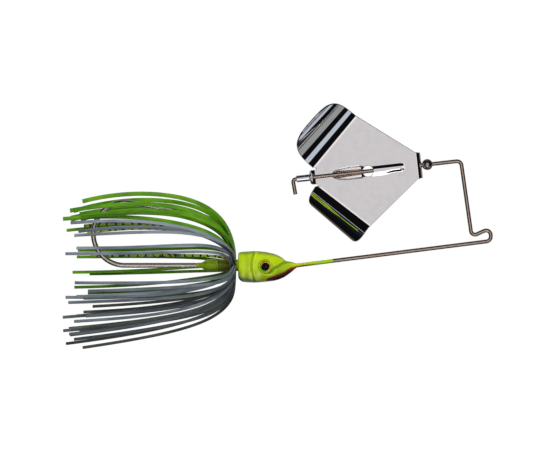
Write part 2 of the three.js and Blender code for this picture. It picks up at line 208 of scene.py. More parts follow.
def on_arm(verts):
    """Points given along, across and up from the blade's hole, placed on the upper arm."""
    turn = Matrix.Rotation(-ARM_PITCH, 3, "Y")
    return [ARM_HOLE + turn @ Vector(v) for v in verts]


def curve_through(rows, x):
    """Smooth values at x through rows of (x, value, value...)."""
    last = len(rows) - 1
    i = 0
    while i < last - 1 and rows[i + 1][0] < x:
        i += 1
    a, b = rows[i], rows[i + 1]
    before, after = rows[max(i - 1, 0)], rows[min(i + 2, last)]
    width = b[0] - a[0]
    t = min(1, max(0, (x - a[0]) / width))
    values = []
    for v in range(1, len(a)):
        slope_a = (b[v] - before[v]) / (b[0] - before[0]) * width
        slope_b = (after[v] - a[v]) / (after[0] - a[0]) * width
        h1 = 2 * t**3 - 3 * t**2 + 1
        h2 = t**3 - 2 * t**2 + t
        h3 = -2 * t**3 + 3 * t**2
        h4 = t**3 - t**2
        values.append(h1 * a[v] + h2 * slope_a + h3 * b[v] + h4 * slope_b)
    return values


def ramp(x, low, high):
    """0 below low, 1 above high, smooth between."""
    t = min(1, max(0, (x - low) / (high - low)))
    return t * t * (3 - 2 * t)


def bump(distance, width):
    """A rounded ridge: 1 at distance 0, 0 beyond width."""
    t = min(1, abs(distance) / width)
    return (1 - t * t) ** 2


# ------------ material helpers


class Nodes:
    """Builds a node tree with short calls."""

    def __init__(self, owner):
        owner.use_nodes = True
        self.tree = owner.node_tree

    def add(self, kind, inputs=None, **settings):
        node = self.tree.nodes.new("ShaderNode" + kind)
        for key, value in settings.items():
            setattr(node, key, value)
        for key, value in (inputs or {}).items():
            self.put(node.inputs[key], value)
        return node

    def put(self, socket, value):
        if isinstance(value, bpy.types.NodeSocket):
            self.tree.links.new(value, socket)
        else:
            socket.default_value = value

    def math(self, operation, a, b=0.0):
        return self.add("Math", {0: a, 1: b}, operation=operation).outputs[0]

    def scaled(self, value, scale, offset):
        inputs = {0: value, 1: scale, 2: offset}
        return self.add("Math", inputs, operation="MULTIPLY_ADD").outputs[0]

    def times(self, a, b):
        return self.math("MULTIPLY", a, b)

    def plus(self, a, b):
        return self.math("ADD", a, b)

    def minus(self, a, b):
        return self.math("SUBTRACT", a, b)

    def mix(self, share, a, b, blend="MIX"):
        node = self.add("Mix", data_type="RGBA", blend_type=blend)
        self.put(node.inputs[0], share)
        self.put(node.inputs[6], a)
        self.put(node.inputs[7], b)
        return node.outputs[2]

    def steps(self, value, low, high):
        node = self.add("MapRange", {0: value, 1: low, 2: high}, interpolation_type="SMOOTHSTEP")
        return node.outputs[0]

    def ramp(self, value, stops):
        node = self.add("ValToRGB", {0: value})
        elements = node.color_ramp.elements
        while len(elements) < len(stops):
            elements.new(0.5)
        for element, (at, _) in zip(elements, stops):
            element.position = at
        for element, (at, colour) in zip(elements, stops):
            element.position = at
            element.color = (*colour, 1)
        return node.outputs[0]

    def place(self):
        """x, y and z in millimetres at rest."""
        at = self.add("TexCoord").outputs["Object"]
        scaled = self.add("VectorMath", {0: at, 1: (1 / MM,) * 3}, operation="MULTIPLY").outputs[0]
        moved = self.add("VectorMath", {0: scaled, 1: HEAD_REAR}, operation="SUBTRACT").outputs[0]
        return self.add("SeparateXYZ", {0: moved}).outputs, moved

    def along(self):
        """Length in millimetres and turn around, from the piece's uvs."""
        uv = self.add("UVMap", uv_map="along").outputs[0]
        return self.add("SeparateXYZ", {0: uv}).outputs, uv

    def stretched(self, vector, scale):
        node = self.add("Mapping", {"Vector": vector, "Scale": scale})
        return node.outputs[0]

    def noise(self, vector, scale, detail=3.0, rough=0.5):
        inputs = {"Vector": vector, "Scale": scale, "Detail": detail, "Roughness": rough}
        return self.add("TexNoise", inputs).outputs["Fac"]

    def bump(self, height, strength, distance):
        inputs = {"Height": height, "Strength": strength, "Distance": distance * MM}
        return self.add("Bump", inputs).outputs[0]

    def from_eye(self, x, z):
        """Distance from the eye's centre in side view, and the offsets it is made of."""
        dx, dz = self.minus(x, EYE_X), self.minus(z, EYE_Z)
        squares = self.plus(self.times(dx, dx), self.times(dz, dz))
        return self.math("SQRT", squares), dx, dz


class MaterialNodes(Nodes):
    """A new material's node tree."""

    def __init__(self, name):
        self.material = bpy.data.materials.new(name)
        super().__init__(self.material)
        self.bsdf = self.tree.nodes["Principled BSDF"]
        self.out = self.tree.nodes["Material Output"]

    def set(self, **inputs):
        for key, value in inputs.items():
            self.put(self.bsdf.inputs[key.replace("_", " ")], value)


def srgb(r, g, b):
    """A linear colour from 0 to 255 display values."""
    return tuple(((c / 255 + 0.055) / 1.055) ** 2.4 if c > 10 else c / 255 / 12.92 for c in (r, g, b))


def rgba(r, g, b):
    return (*srgb(r, g, b), 1)


# ------------ materials

CHARTREUSE = rgba(170, 192, 14)
THROAT_RED = rgba(108, 4, 6)
THROAT_DARK = rgba(42, 0, 5)
PEARL = rgba(128, 144, 122)
# painted shade for the head's creases and the groove round the eye
CREASE_SHADE_GREEN = rgba(84, 122, 6)


def drawn_steel(n, colour_light, colour_dark, streak_scale):
    """Colour, roughness and bump of drawn wire with fine lines along it."""
    _, uv = n.along()
    lines = n.noise(n.stretched(uv, (0.25, streak_scale, 1)), 1.0, 3.0, 0.6)
    blotch = n.noise(n.stretched(uv, (0.25, 2.0, 1)), 1.0, 2.0)
    colour = n.mix(n.times(n.steps(lines, 0.3, 0.7), 0.6), colour_light, colour_dark)
    colour = n.mix(n.times(n.steps(blotch, 0.45, 0.75), 0.25), colour, colour_dark)
    rough = n.scaled(lines, 0.16, 0.14)
    return colour, rough, n.bump(lines, 0.12, 0.01)


def wire_material():
    """Stainless wire, with the head's paint run out along it from the nose."""
    n = MaterialNodes("wire_steel")
    (x, _, z), _ = n.place()
    colour, rough, normal = drawn_steel(n, rgba(206, 186, 170), rgba(160, 142, 128), 16)
    end = n.add("TexNoise", {"Scale": 900.0, "Detail": 2.0}).outputs["Fac"]
    reach = n.scaled(end, 1.6, PAINT_END_X - 0.8)
    painted = n.math("LESS_THAN", x, reach)
    painted = n.times(painted, n.math("LESS_THAN", z, 4.0))
    slope = n.times(n.minus(x, NOSE_X), LOWER_ARM_SLOPE)
    under = n.minus(n.plus(slope, NOSE_Z), z)
    red = n.times(n.steps(under, -0.1, 0.25), n.steps(x, PAINT_END_X - 3.0, NOSE_X + 2.0))
    paint = n.mix(red, rgba(140, 178, 14), rgba(150, 54, 8))
    n.set(Base_Color=n.mix(painted, colour, paint))
    n.set(Metallic=n.minus(1.0, painted))
    n.set(Roughness=n.mix(painted, rough, (0.22, 0.22, 0.22, 1)))
    n.set(Normal=normal)
    return n.material


def hook_material():
    """Bare hook steel, painted where the lead's sleeve ends."""
    n = MaterialNodes("hook_steel")
    (x, _, z), _ = n.place()
    colour, rough, normal = drawn_steel(n, rgba(252, 240, 230), rgba(214, 200, 190), 14)
    tip = n.steps(n.noise(n.along()[1], 3.0), 0.3, 0.8)
    colour = n.mix(n.times(tip, 0.2), colour, rgba(110, 98, 90))
    wave = n.add("TexNoise", {"Scale": 700.0, "Detail": 2.0}).outputs["Fac"]
    edge = n.scaled(wave, 1.8, SLEEVE_PAINT_X - 0.9)
    painted = n.times(n.math("GREATER_THAN", x, edge), n.math("LESS_THAN", z, 3.0))
    n.set(Base_Color=n.mix(painted, colour, rgba(150, 180, 14)))
    n.set(Metallic=n.minus(1.0, painted))
    n.set(Roughness=rough, Normal=normal)
    return n.material


def head_material():
    """Chartreuse enamel with a pearl belly and a red throat, sprayed with soft edges, and darker green
    where the surface faces up along the top; painted shade in the creases and round the eye, painted
    highlights on the ridges and painted reflections low on the cheek.
    """
    n = MaterialNodes("painted_lead")
    (x, _, z), at = n.place()
    speck = n.noise(at, 2.6, 4.0)
    wash = n.noise(at, 0.35, 2.0)
    high = n.plus(z, n.scaled(speck, 0.5, -0.25))
    colour = n.mix(n.steps(wash, 0.35, 0.7), CHARTREUSE, rgba(150, 178, 10))
    colour = darker_top(n, colour, x)
    colour = relief_shade_and_highlight(n, colour, x, z)
    colour = painted_cheek_reflections(n, colour, x, z)
    colour = pearl_belly(n, colour, x, high)
    colour = red_throat(n, colour, x, high)
    sleeve = n.steps(x, 0.3, -0.3)
    colour = n.mix(n.times(sleeve, 0.55), colour, rgba(112, 156, 10))
    n.set(Base_Color=colour, Roughness=0.34, Normal=n.bump(speck, 0.03, 0.02))
    n.set(Coat_Weight=0.5, Coat_Roughness=0.12, Specular_IOR_Level=0.3)
    return n.material


def darker_top(n, colour, x):
    """Darker green where the surface faces up, in a line along the top of the head."""
    geometry = n.add("NewGeometry")
    up = n.add("SeparateXYZ", {0: geometry.outputs["Normal"]}).outputs[2]
    back = n.times(n.steps(up, 0.55, 0.98), n.steps(x, -0.5, 0.6))
    return n.mix(n.times(back, 0.75), colour, rgba(52, 84, 12))


def relief_shade_and_highlight(n, colour, x, z):
    """Painted shade in the creases and in the groove round the eye, and painted highlights on the ridges.
    """
    relief = n.add("Attribute", attribute_name="relief").outputs["Fac"]
    colour = n.mix(n.times(n.steps(relief, -0.02, -0.32), 0.7), colour, CREASE_SHADE_GREEN)
    colour = n.mix(n.times(n.steps(relief, 0.03, 0.16), 0.22), colour, rgba(214, 232, 70))
    # painted shade in the groove round the eye's lip
    outline = window(n, n.from_eye(x, z)[0], LIP_R + 0.14, LIP_R + 0.3, 0.08)
    return n.mix(n.times(outline, 0.5), colour, CREASE_SHADE_GREEN)


def painted_cheek_reflections(n, colour, x, z):
    """A row of painted soft reflections low on the cheek."""
    row = n.math("SINE", n.scaled(x, 2 * math.pi / 2.6, -1.8))
    low_cheek = n.times(n.steps(z, -1.6, -3.2), n.steps(x, 9.0, 7.4))
    cheek_reflection = n.times(n.times(n.steps(row, -0.6, 1.0), low_cheek), 0.5)
    return n.mix(cheek_reflection, colour, rgba(206, 222, 128))


def pearl_belly(n, colour, x, high):
    belly_line = n.scaled(x, -0.16, -3.7)
    belly = n.steps(n.minus(belly_line, high), -0.25, 0.35)
    belly = n.times(belly, n.steps(x, 0.0, 0.4))
    belly = n.times(belly, n.steps(x, 9.4, 8.0))
    return n.mix(n.times(belly, 0.85), colour, PEARL)


def red_throat(n, colour, x, high):
    """Red below the throat's line, darker underneath and orange towards the nose."""
    throat_line = n.add("FloatCurve", {"Value": n.math("DIVIDE", x, THROAT_END)})
    curve = throat_line.mapping.curves[0]
    for i, (px, pz) in enumerate(THROAT_LINE):
        spot = (px / THROAT_END, (pz - THROAT_FLOOR) / THROAT_SPAN)
        if i < 2:
            curve.points[i].location = spot
        else:
            curve.points.new(*spot)
    throat_line.mapping.update()
    line = n.scaled(throat_line.outputs[0], THROAT_SPAN, THROAT_FLOOR)
    raised = n.times(n.steps(x, 18.0, 15.5), 0.5)
    depth = n.minus(n.plus(line, raised), high)
    red = n.times(n.steps(depth, -0.45, 0.4), n.steps(x, 8.0, 9.6))
    red_colour = n.mix(n.steps(depth, 0.15, 1.1), THROAT_RED, THROAT_DARK)
    near_nose = n.times(n.steps(x, 15.5, 18.6), 0.6)
    return n.mix(red, colour, n.mix(near_nose, red_colour, rgba(176, 70, 10)))


def foil_material():
    """A printed black pupil in a holographic ring that changes from gold to green round the eye."""
    n = MaterialNodes("eye_foil")
    (x, _, z), at = n.place()
    radius, dx, dz = n.from_eye(x, z)
    turn = n.scaled(n.math("ARCTAN2", dz, dx), 1 / (2 * math.pi), 0.5)
    rainbow = n.ramp(turn, [
        (0.0, srgb(60, 170, 30)),
        (0.10, srgb(60, 150, 30)),
        (0.25, srgb(70, 160, 30)),
        (0.36, srgb(214, 190, 30)),
        (0.43, srgb(232, 140, 20)),
        (0.52, srgb(226, 150, 30)),
        (0.56, srgb(30, 180, 50)),
        (0.64, srgb(236, 160, 40)),
        (0.80, srgb(246, 170, 50)),
        (0.90, srgb(230, 180, 30)),
        (1.0, srgb(60, 170, 30)),
    ])
    facets = n.add("TexVoronoi", {"Vector": at, "Scale": 5.0})
    rainbow = n.mix(0.25, rainbow, facets.outputs["Color"], "OVERLAY")
    pupil = n.steps(radius, PUPIL_R + 0.03, PUPIL_R - 0.03)
    n.set(Base_Color=n.mix(pupil, rainbow, rgba(2, 3, 5)))
    n.set(Metallic=n.times(n.minus(1.0, pupil), 0.2), Roughness=0.45)
    n.set(Specular_IOR_Level=0.1)
    return n.material


def resin_material():
    """Clear resin: lets the print show and mirrors the studio at a glance."""
    n = MaterialNodes("eye_resin")
    clear = n.add("BsdfTransparent")
    shine = n.add("BsdfGlossy", {"Roughness": 0.03})
    rim = n.add("Fresnel", {"IOR": 1.18})
    _, at = n.place()
    n.put(shine.inputs["Normal"], n.bump(n.noise(at, 0.8, 1.0), 0.02, 0.02))
    mixed = n.add("MixShader", {0: rim.outputs[0], 1: clear.outputs[0], 2: shine.outputs[0]})
    n.put(n.out.inputs["Surface"], mixed.outputs[0])
    return n.material


def polished_material(name, colour, rough, scratch):
    """Polished metal with faint scratches and uneven polish."""
    n = MaterialNodes(name)
    _, at = n.place()
    cloud = n.noise(at, 0.5, 3.0)
    marks = n.noise(n.stretched(at, (0.6, 6.0, 9.0)), 1.2, 6.0, 0.75)
    level = n.scaled(n.steps(cloud, 0.3, 0.8), rough, rough * 0.5)
    tint = n.mix(n.steps(cloud, 0.4, 0.7), colour, tuple(c * 0.95 for c in colour[:3]) + (1,))
    n.set(Base_Color=tint, Metallic=1.0, Roughness=level, Normal=n.bump(marks, scratch, 0.004))
    return n.material


def silicone_material(name, light, deep, flecks=None, bars=False):
    """Silicone strand: fine lines along it, light through it, and flakes in some."""
    n = MaterialNodes(name)
    (length, _, _), uv = n.along()
    info = n.add("ObjectInfo").outputs
    lines = n.noise(n.stretched(uv, (0.08, 7.0, 1)), 1.0, 3.0)
    cloud = n.noise(n.stretched(uv, (0.12, 0.5, 1)), 1.0, 2.0)
    colour = n.mix(n.steps(cloud, 0.3, 0.7), light, deep)
    colour = n.mix(n.times(info["Random"], 0.4), colour, deep)
    grain = n.noise(n.stretched(uv, (6.0, 14.0, 1)), 1.0, 3.0, 0.7)
    colour = n.mix(n.times(n.steps(grain, 0.58, 0.72), 0.2), colour, flecks or light)
    if bars:
        colour = barred(n, colour, length, uv)
    # the object colour multiplies in each strand's painted shade and random tone
    colour = n.mix(1.0, colour, info["Color"], "MULTIPLY")
    n.set(Base_Color=colour, Roughness=0.36, Normal=n.bump(lines, 0.3, 0.03))
    n.set(Specular_IOR_Level=0.35)
    glow = n.add("BsdfTranslucent", {"Color": colour})
    mixed = n.add("MixShader", {0: 0.18, 1: n.bsdf.outputs[0], 2: glow.outputs[0]})
    n.put(n.out.inputs["Surface"], mixed.outputs[0])
    return n.material


def barred(n, colour, length, uv):
    """Uneven black bars across the strand and holographic flakes between them."""
    wobble = n.times(n.noise(n.stretched(uv, (0.5, 0.6, 1)), 1.0), 5.0)
    wave = n.math("SINE", n.times(n.plus(length, wobble), 2 * math.pi / 2.6))
    ragged = n.times(n.noise(n.stretched(uv, (2.0, 1.3, 1)), 1.0), 0.9)
    bar = n.steps(n.minus(wave, ragged), -0.15, 0.1)
    colour = n.mix(bar, colour, rgba(14, 20, 8))
    cells = n.add("TexVoronoi", {"Vector": n.stretched(uv, (2.6, 2.2, 1)), "Scale": 1.0})
    flake = n.math("LESS_THAN", cells.outputs["Distance"], 0.34)
    flake = n.times(flake, n.noise(n.stretched(uv, (0.1, 0.1, 1)), 1.0))
    shine = n.mix(0.7, cells.outputs["Color"], rgba(120, 190, 250))
    return n.mix(flake, colour, shine)


def band_material():
    n = MaterialNodes("band_rubber")
    _, at = n.place()
    grain = n.noise(at, 3.0, 4.0)
    colour = n.mix(n.steps(grain, 0.3, 0.7), rgba(112, 122, 22), rgba(140, 138, 30))
    n.set(Base_Color=colour, Roughness=0.45, Normal=n.bump(grain, 0.2, 0.05))
    n.set(Subsurface_Weight=0.1, Subsurface_Scale=0.001)
    return n.material


# ------------ wire form

NOSE_X = 18.0
NOSE_Z = -0.12
PAINT_END_X = 30.0
LOWER_ARM_SLOPE = math.tan(7.2 * DEG)
LINE_TIE_X = WIRE_BOX[1].x - WIRE_R
ROW_SPACING = 1.5  # a bar's rows of points are at most this far apart


def arm_point(s):
    return ARM_HOLE.x + s * math.cos(ARM_PITCH), ARM_HOLE.z + s * math.sin(ARM_PITCH)


WIRE_CORNERS = [
    (10.0, 2.3),
    (10.0, -1.6, 1.1),
    (12.9, -1.6, 4.0),
    (NOSE_X, NOSE_Z, 8.0),
    (LINE_TIE_X, 7.75, 1.6),
    (LINE_TIE_X, 11.9, 1.5),
    (74.15, 9.15, 1.3),
    (*arm_point(29.65), 1.5),
    (*arm_point(-24.05), 0.9),
    (18.2, 22.5),
]


def resampled(points, spacing):
    """The same polyline with extra points on its long straight runs."""
    dense = [points[0]]
    for a, b in zip(points, points[1:]):
        pieces = max(1, math.ceil((b - a).length / spacing))
        dense += [a.lerp(b, (k + 1) / pieces) for k in range(pieces)]
    return dense


def build_wire():
    path = resampled(fillet(WIRE_CORNERS), ROW_SPACING)
    total = sum((b - a).length for a, b in zip(path, path[1:]))
    chamfer = 0.12

    def radius_at(length, point):
        return WIRE_R - max(0, chamfer - length, chamfer - (total - length))

    path.insert(1, path[0].lerp(path[1], chamfer / (path[1] - path[0]).length))
    path.insert(-1, path[-1].lerp(path[-2], chamfer / (path[-1] - path[-2]).length))
    verts, faces, uvs = tube(path, radius_at)
    wire = piece("wire", verts, faces, wire_material(), "root", ["wire_form"], "wire", uvs)
    sharpen(wire, 40)


# ------------ hook

SLEEVE_PAINT_X = -13.4
EYE_CENTRE_X = 10.0
EYE_RING_R = 1.7
EYE_RING_WIRE_R = 0.55
BEND_CENTRE_X = HOOK_BOX[0].x + SHANK_R + HOOK_BEND_R
BEND_PAST = 9.47  # degrees past the half turn, which closes the leg a little
LEG_LENGTH = 12.5
POINT_LENGTH = 4.2
BARB_AHEAD = 1.2  # the barb's foot, ahead of where the point starts to taper
BARB_LENGTH = 3.8
BARB_LIFT = 0.75
BARB_HALF = 0.34
BARB_TIP_HALF = 0.03
BARB_THICK = 0.36
BARB_TIP_THICK = 0.05


def hook_path():
    bend_steps, point_steps = 60, 12
    points = [Vector((EYE_CENTRE_X - EYE_RING_R, 0)), Vector((BEND_CENTRE_X, 0))]
    for k in range(1, bend_steps + 1):
        a = (180 + BEND_PAST) * DEG * k / bend_steps
        points.append(Vector((BEND_CENTRE_X - HOOK_BEND_R * math.sin(a), HOOK_BEND_R * (1 - math.cos(a)))))
    leg = Vector((math.cos(BEND_PAST * DEG), -math.sin(BEND_PAST * DEG)))
    start = points[-1]
    points.append(start + leg * LEG_LENGTH)
    for k in range(1, point_steps + 1):
        points.append(start + leg * (LEG_LENGTH + POINT_LENGTH * k / point_steps))
    return resampled(points, ROW_SPACING), start, leg


def ring(centre, radius, wire_r, around=40, sides=16):
    """A round ring lying flat, in the plane z = 0."""
    verts, faces = [], []
    for i in range(around):
        a = 2 * math.pi * i / around
        for k in range(sides):
            b = 2 * math.pi * k / sides
            r = radius + wire_r * math.cos(b)
            verts.append((centre + r * math.cos(a), r * math.sin(a), wire_r * math.sin(b)))
            n, m = (i + 1) % around, (k + 1) % sides
            faces.append((i * sides + k, n * sides + k, n * sides + m, i * sides + m))
    return verts, faces


def barb(start, leg):
    """A slip of steel lifted from the inside of the leg, pointing back."""
    inward = Vector((leg.y, -leg.x)) * (1 if leg.x > 0 else -1)
    foot = start + leg * (LEG_LENGTH + BARB_AHEAD)
    verts = []
    rows = 9
    for i in range(rows):
        t = i / (rows - 1)
        back = foot - leg * BARB_LENGTH * t
        lift = SHANK_R * (0.72 + 0.1 * t) + BARB_LIFT * t**1.6
        half = BARB_HALF * (1 - t) ** 0.6 + BARB_TIP_HALF
        thick = BARB_THICK * (1 - t) + BARB_TIP_THICK
        for y, drop in ((-half, 0), (half, 0), (half * 0.8, thick), (-half * 0.8, thick)):
            spot = back + inward * (lift - drop)
            verts.append((spot.x, y, spot.y))
    return verts, skin(rows, 4)


def joined(*parts):
    verts, faces = [], []
    for part_verts, part_faces in parts:
        base = len(verts)
        verts += part_verts
        faces += [tuple(base + i for i in face) for face in part_faces]
    return verts, faces


def build_hook():
    path, start, leg = hook_path()
    total = sum((b - a).length for a, b in zip(path, path[1:]))

    def radius_at(length, point):
        left = (total - length) / POINT_LENGTH
        return SHANK_R * min(1, 0.02 + 1.05 * left**0.8) if left < 1 else SHANK_R

    verts, faces, uvs = tube(path, radius_at)
    parts = joined((verts, faces), ring(EYE_CENTRE_X, EYE_RING_R, EYE_RING_WIRE_R), barb(start, leg))
    uvs += [(v[0], 0.3 + 0.1 * v[1]) for v in parts[0][len(verts):]]
    hook = piece("hook_and_barb", *parts, hook_material(), "root", ["hook"], "hook_steel", uvs)
    sharpen(hook, 50)


# ------------ head

EYE_X = (EYE_BOX[0].x + EYE_BOX[1].x) / 2
EYE_Z = (EYE_BOX[0].z + EYE_BOX[1].z) / 2
EYE_R = (EYE_BOX[1].x - EYE_BOX[0].x) / 2
PUPIL_R = 0.81 * EYE_R
LIP_R = 1.92
LIP_HEIGHT = 0.16
LIP_CREASE = 0.22
NAPE_X = 2.75  # a shallow band round the back of the head
NAPE_HALF = 1.15
NAPE_DEPTH = 0.14
GILL_REACH = (3.2, 6.6)
GILL_RIDGE = 0.14
GILL_CREASE = 0.24
MOUTH_FROM_X = 8.4
MOUTH_CREASE = 0.40
JAW_STEP = 0.14  # how far the snout is set back above the mouth
SEAT_FLOOR = EYE_BOX[0].y - 0.05
NECK_R = 1.85
GROOVE_R = 1.4

# Sections of the head: (x, top, bottom, half width).
HEAD_SECTIONS = [
    (0.0, 3.35, -3.4, 2.9),
    (0.1, 3.85, -3.95, 3.3),
    (0.35, 4.1, -4.42, 3.6),
    (1.2, 4.3, -5.14, 3.85),
    (2.6, 4.4, -5.38, 3.93),
    (5.2, 4.54, -5.48, 4.05),
    (7.0, 4.45, -5.4, 4.0),
    (8.8, 4.25, -5.22, 3.9),
    (10.2, 3.96, -5.06, 3.7),
    (11.6, 3.6, -4.86, 3.4),
    (13.4, 2.8, -4.3, 2.75),
    (14.5, 2.02, -3.8, 2.3),
    (15.15, 1.5, -3.42, 2.0),
    (15.7, 1.34, -3.04, 1.8),
    (17.05, 1.08, -2.03, 1.3),
    (18.0, 0.74, -1.2, 0.9),
    (18.7, 0.62, -0.72, 0.7),
    (19.6, 0.74, -0.6, 0.67),
]

# The upper edge of the red throat: its two ends, then the points between them.
THROAT_END = 20.0
THROAT_FLOOR = -6.0
THROAT_SPAN = 6.5
THROAT_LINE = [
    (0.0, THROAT_FLOOR),
    (THROAT_END, -0.1),
    (8.4, -5.1),
    (9.4, -4.5),
    (11.8, -3.55),
    (14.3, -2.65),
    (15.9, -1.6),
    (17.5, -0.5),
]
MOUTH_LINE = [(15.5, 1.5), (14.1, 0.6), (12.85, -0.35), (11.6, -0.95), (10.8, -1.95), (9.5, -3.0)]
GILL_LINE = [(5.35, 4.6), (4.75, 2.8), (4.32, 0.6), (4.32, -1.0), (4.6, -3.0), (5.1, -4.9)]


def distance_to(line, x, z):
    """Signed distance from a line of points in side view, and how far along it the nearest spot is."""
    at = Vector((x, z))
    best = None
    for i, (a, b) in enumerate(zip(line, line[1:])):
        a, b = Vector(a), Vector(b)
        way = b - a
        t = min(1, max(0, (at - a).dot(way) / way.length_squared))
        off = at - (a + way * t)
        side = 1 if way.x * off.y - way.y * off.x > 0 else -1
        if best is None or off.length < abs(best[0]):
            best = (side * off.length, (i + t) / (len(line) - 1))
    return best


def smooth_line(line, per=8):
    """A rounder version of a line of points."""
    points = []
    last = len(line) - 1
    for i in range(last):
        p0, p1, p2, p3 = (Vector(line[min(max(j, 0), last)]) for j in (i - 1, i, i + 1, i + 2))
        for k in range(per):
            t = k / per
            points.append(0.5 * (2 * p1 + (p2 - p0) * t + (2 * p0 - 5 * p1 + 4 * p2 - p3) * t**2
                                 + (3 * p1 - p0 - 3 * p2 + p3) * t**3))
    points.append(Vector(line[-1]))
    return points


def face_relief(x, z, mouth, gill):
    """How far the casting stands out from its plain sections at a spot in side view."""
    relief = -NAPE_DEPTH * bump(x - NAPE_X, NAPE_HALF)
    if GILL_REACH[0] < x < GILL_REACH[1]:
        off, _ = distance_to(gill, x, z)
        relief += GILL_RIDGE * bump(off - 0.6, 0.6) - GILL_CREASE * bump(off + 0.15, 0.65)
    if x > MOUTH_FROM_X:
        off, along = distance_to(mouth, x, z)
        relief -= MOUTH_CREASE * bump(off, 0.75) * ramp(along, 1.0, 0.9)
        relief -= JAW_STEP * ramp(off, 0.0, 0.7) * ramp(x, 11.5, 13.5)
    from_lip = math.hypot(x - EYE_X, z - EYE_Z) - LIP_R
    return relief + LIP_HEIGHT * bump(from_lip, 0.26) - LIP_CREASE * bump(from_lip - 0.27, 0.24)


def seat_eye(x, y, z):
    """The casting's surface inside the eye's ring, sunk to the floor of its seat."""
    sunk = 1 - ramp(math.hypot(x - EYE_X, z - EYE_Z), EYE_R + 0.02, EYE_R + 0.16)
    return y + (math.copysign(SEAT_FLOOR, y) - y) * sunk


def head_rings():
    """(x, top, bottom, half width) from the sleeve on the shank to the nose."""
    collar = fillet([
        (SLEEVE_PAINT_X + 0.5, SHANK_R + 0.04),
        (-11.55, SHANK_R + 0.08, 0.3),
        (-9.9, 1.92, 0.35),
        (-7.7, 1.93, 0.1),
        (-7.45, 2.02, 0.08),
        (-7.2, 1.86, 0.1),
        (-6.2, 1.86, 0.1),
        (-6.2, GROOVE_R, 0.1),
        (-0.7, GROOVE_R, 0.1),
        (-0.7, NECK_R, 0.12),
        (-0.02, NECK_R, 0.15),
        (0.0, 2.9),
    ], step=15)
    rings = [(p.x, p.y, -p.y, p.y) for p in collar[:-1]]
    start = rings[-1]
    for k in range(1, 5):
        t = k / 5
        rings.append((0.0, *(a + (b - a) * t for a, b in zip(start[1:], HEAD_SECTIONS[0][1:]))))
    fine, step = 0.05, 0.09
    x = 0.0
    while x < HEAD_SECTIONS[-1][0]:
        rings.append((x, *curve_through(HEAD_SECTIONS, x)))
        x += fine if x < 0.6 else step
    rings.append(HEAD_SECTIONS[-1])
    return rings


def build_head():
    around = 256
    mouth, gill = smooth_line(MOUTH_LINE), smooth_line(GILL_LINE)
    verts, reliefs = [], []
    for x, top, bottom, half in head_rings():
        middle, tall = (top + bottom) / 2, (top - bottom) / 2
        fullness = 1 + 0.035 * ramp(x, 0.2, 3.0) * ramp(x, 14.0, 9.0)
        for k in range(around):
            a = 2 * math.pi * k / around
            c, s = math.cos(a), math.sin(a)
            squarer = 1 + (fullness - 1) * math.sin(2 * a) ** 2
            y, z = half * s * squarer, middle + tall * c * squarer
            relief = 0
            if x > 0.3:
                out = Vector((y / half**2, (z - middle) / tall**2)).normalized()
                flank = ramp(abs(out.x), 0.05, 0.45)
                relief = face_relief(x, z, mouth, gill) * flank
                relief *= ramp(x, 0.3, 1.0) * ramp(x, 17.8, 16.0)
                y = seat_eye(x, y + out.x * relief, z)
                z += out.y * relief
            verts.append((x, y, z))
            reliefs.append(relief)
    faces = skin(len(verts) // around, around)
    head = piece("head", verts, faces, head_material(), "root", ["head_casting"], "painted_lead")
    sharpen(head, 60)
    # the relief steers the painted shade in the creases and the painted highlights on the ridges
    head.data.attributes.new("relief", "FLOAT", "POINT").data.foreach_set("value", reliefs)


# ------------ eyes


FOIL_RIM = 0.12  # the foil is pressed into a shallow dish
FOIL_MIDDLE = 0.06
DOME_WALL = 0.12  # the dome stands straight up this far before it curves over
PINHOLE = 0.02  # the radius at which a turned profile meets its axis


def foil_profile():
    base = EYE_BOX[0].y
    return [
        (base, PINHOLE),
        (base, EYE_R),
        (base + FOIL_RIM, EYE_R),
        (base + 0.08, 0.7 * EYE_R),
        (base + FOIL_MIDDLE, PINHOLE),
    ]


def dome_profile(steps=12):
    base = DOME_BOX[0].y
    rise = DOME_BOX[1].y - base - DOME_WALL
    profile = [(base, PINHOLE), (base, EYE_R)]
    for k in range(1, steps + 1):
        a = 90 * DEG * k / steps
        profile.append((base + DOME_WALL + rise * math.sin(a), max(PINHOLE, EYE_R * math.cos(a))))
    return profile


def build_eyes():
    kinds = (
        ("foil", foil_profile(), foil_material(), "eye_foil"),
        ("dome", dome_profile(), resin_material(), "eye_resin"),
    )
    for side, name in ((1, "left"), (-1, "right")):
        for kind, profile, material, slot in kinds:
            verts, faces = lathe(profile)
            verts = [(EYE_X + side * v[1], side * v[0], EYE_Z + v[2]) for v in verts]
            faces = [face[::-1] for face in faces]
            nodes = [f"eye_{kind}_{name}"]
            eye = piece(f"eye_{kind}_cover_{name}", verts, faces, material, "root", nodes, slot)
            sharpen(eye, 50)


# ------------ bead and rivet

BORE_R = WIRE_R + 0.2
BEAD_BOX = box_mm("bead")
RIVET_BOX = box_mm("rivet")
RIVET_HALF = 2.4
RIVET_BARREL_R = 1.08


def arm_distance(low, high):
    """Distance along the upper arm, from the blade's hole, of the middle of a box."""
    return ((low + high) / 2 - ARM_HOLE).dot(ARM_AXIS)


def build_bead():
    radius = (BEAD_BOX[1].y - BEAD_BOX[0].y) / 2
    at = arm_distance(*BEAD_BOX)
    mouth = math.asin(BORE_R / radius)
    profile = []
    for k in range(41):
        a = mouth + (math.pi - 2 * mouth) * k / 40
        profile.append((at - radius * math.cos(a), radius * math.sin(a)))
    verts, faces = lathe(profile, 64, closed=True)
    metal = polished_material("bead_metal", rgba(190, 180, 170), 0.30, 0.01)
    bead = piece("bead_ball", on_arm(verts), faces, metal, "bead", ["bead"], "bead_metal")
    sharpen(bead, 40)


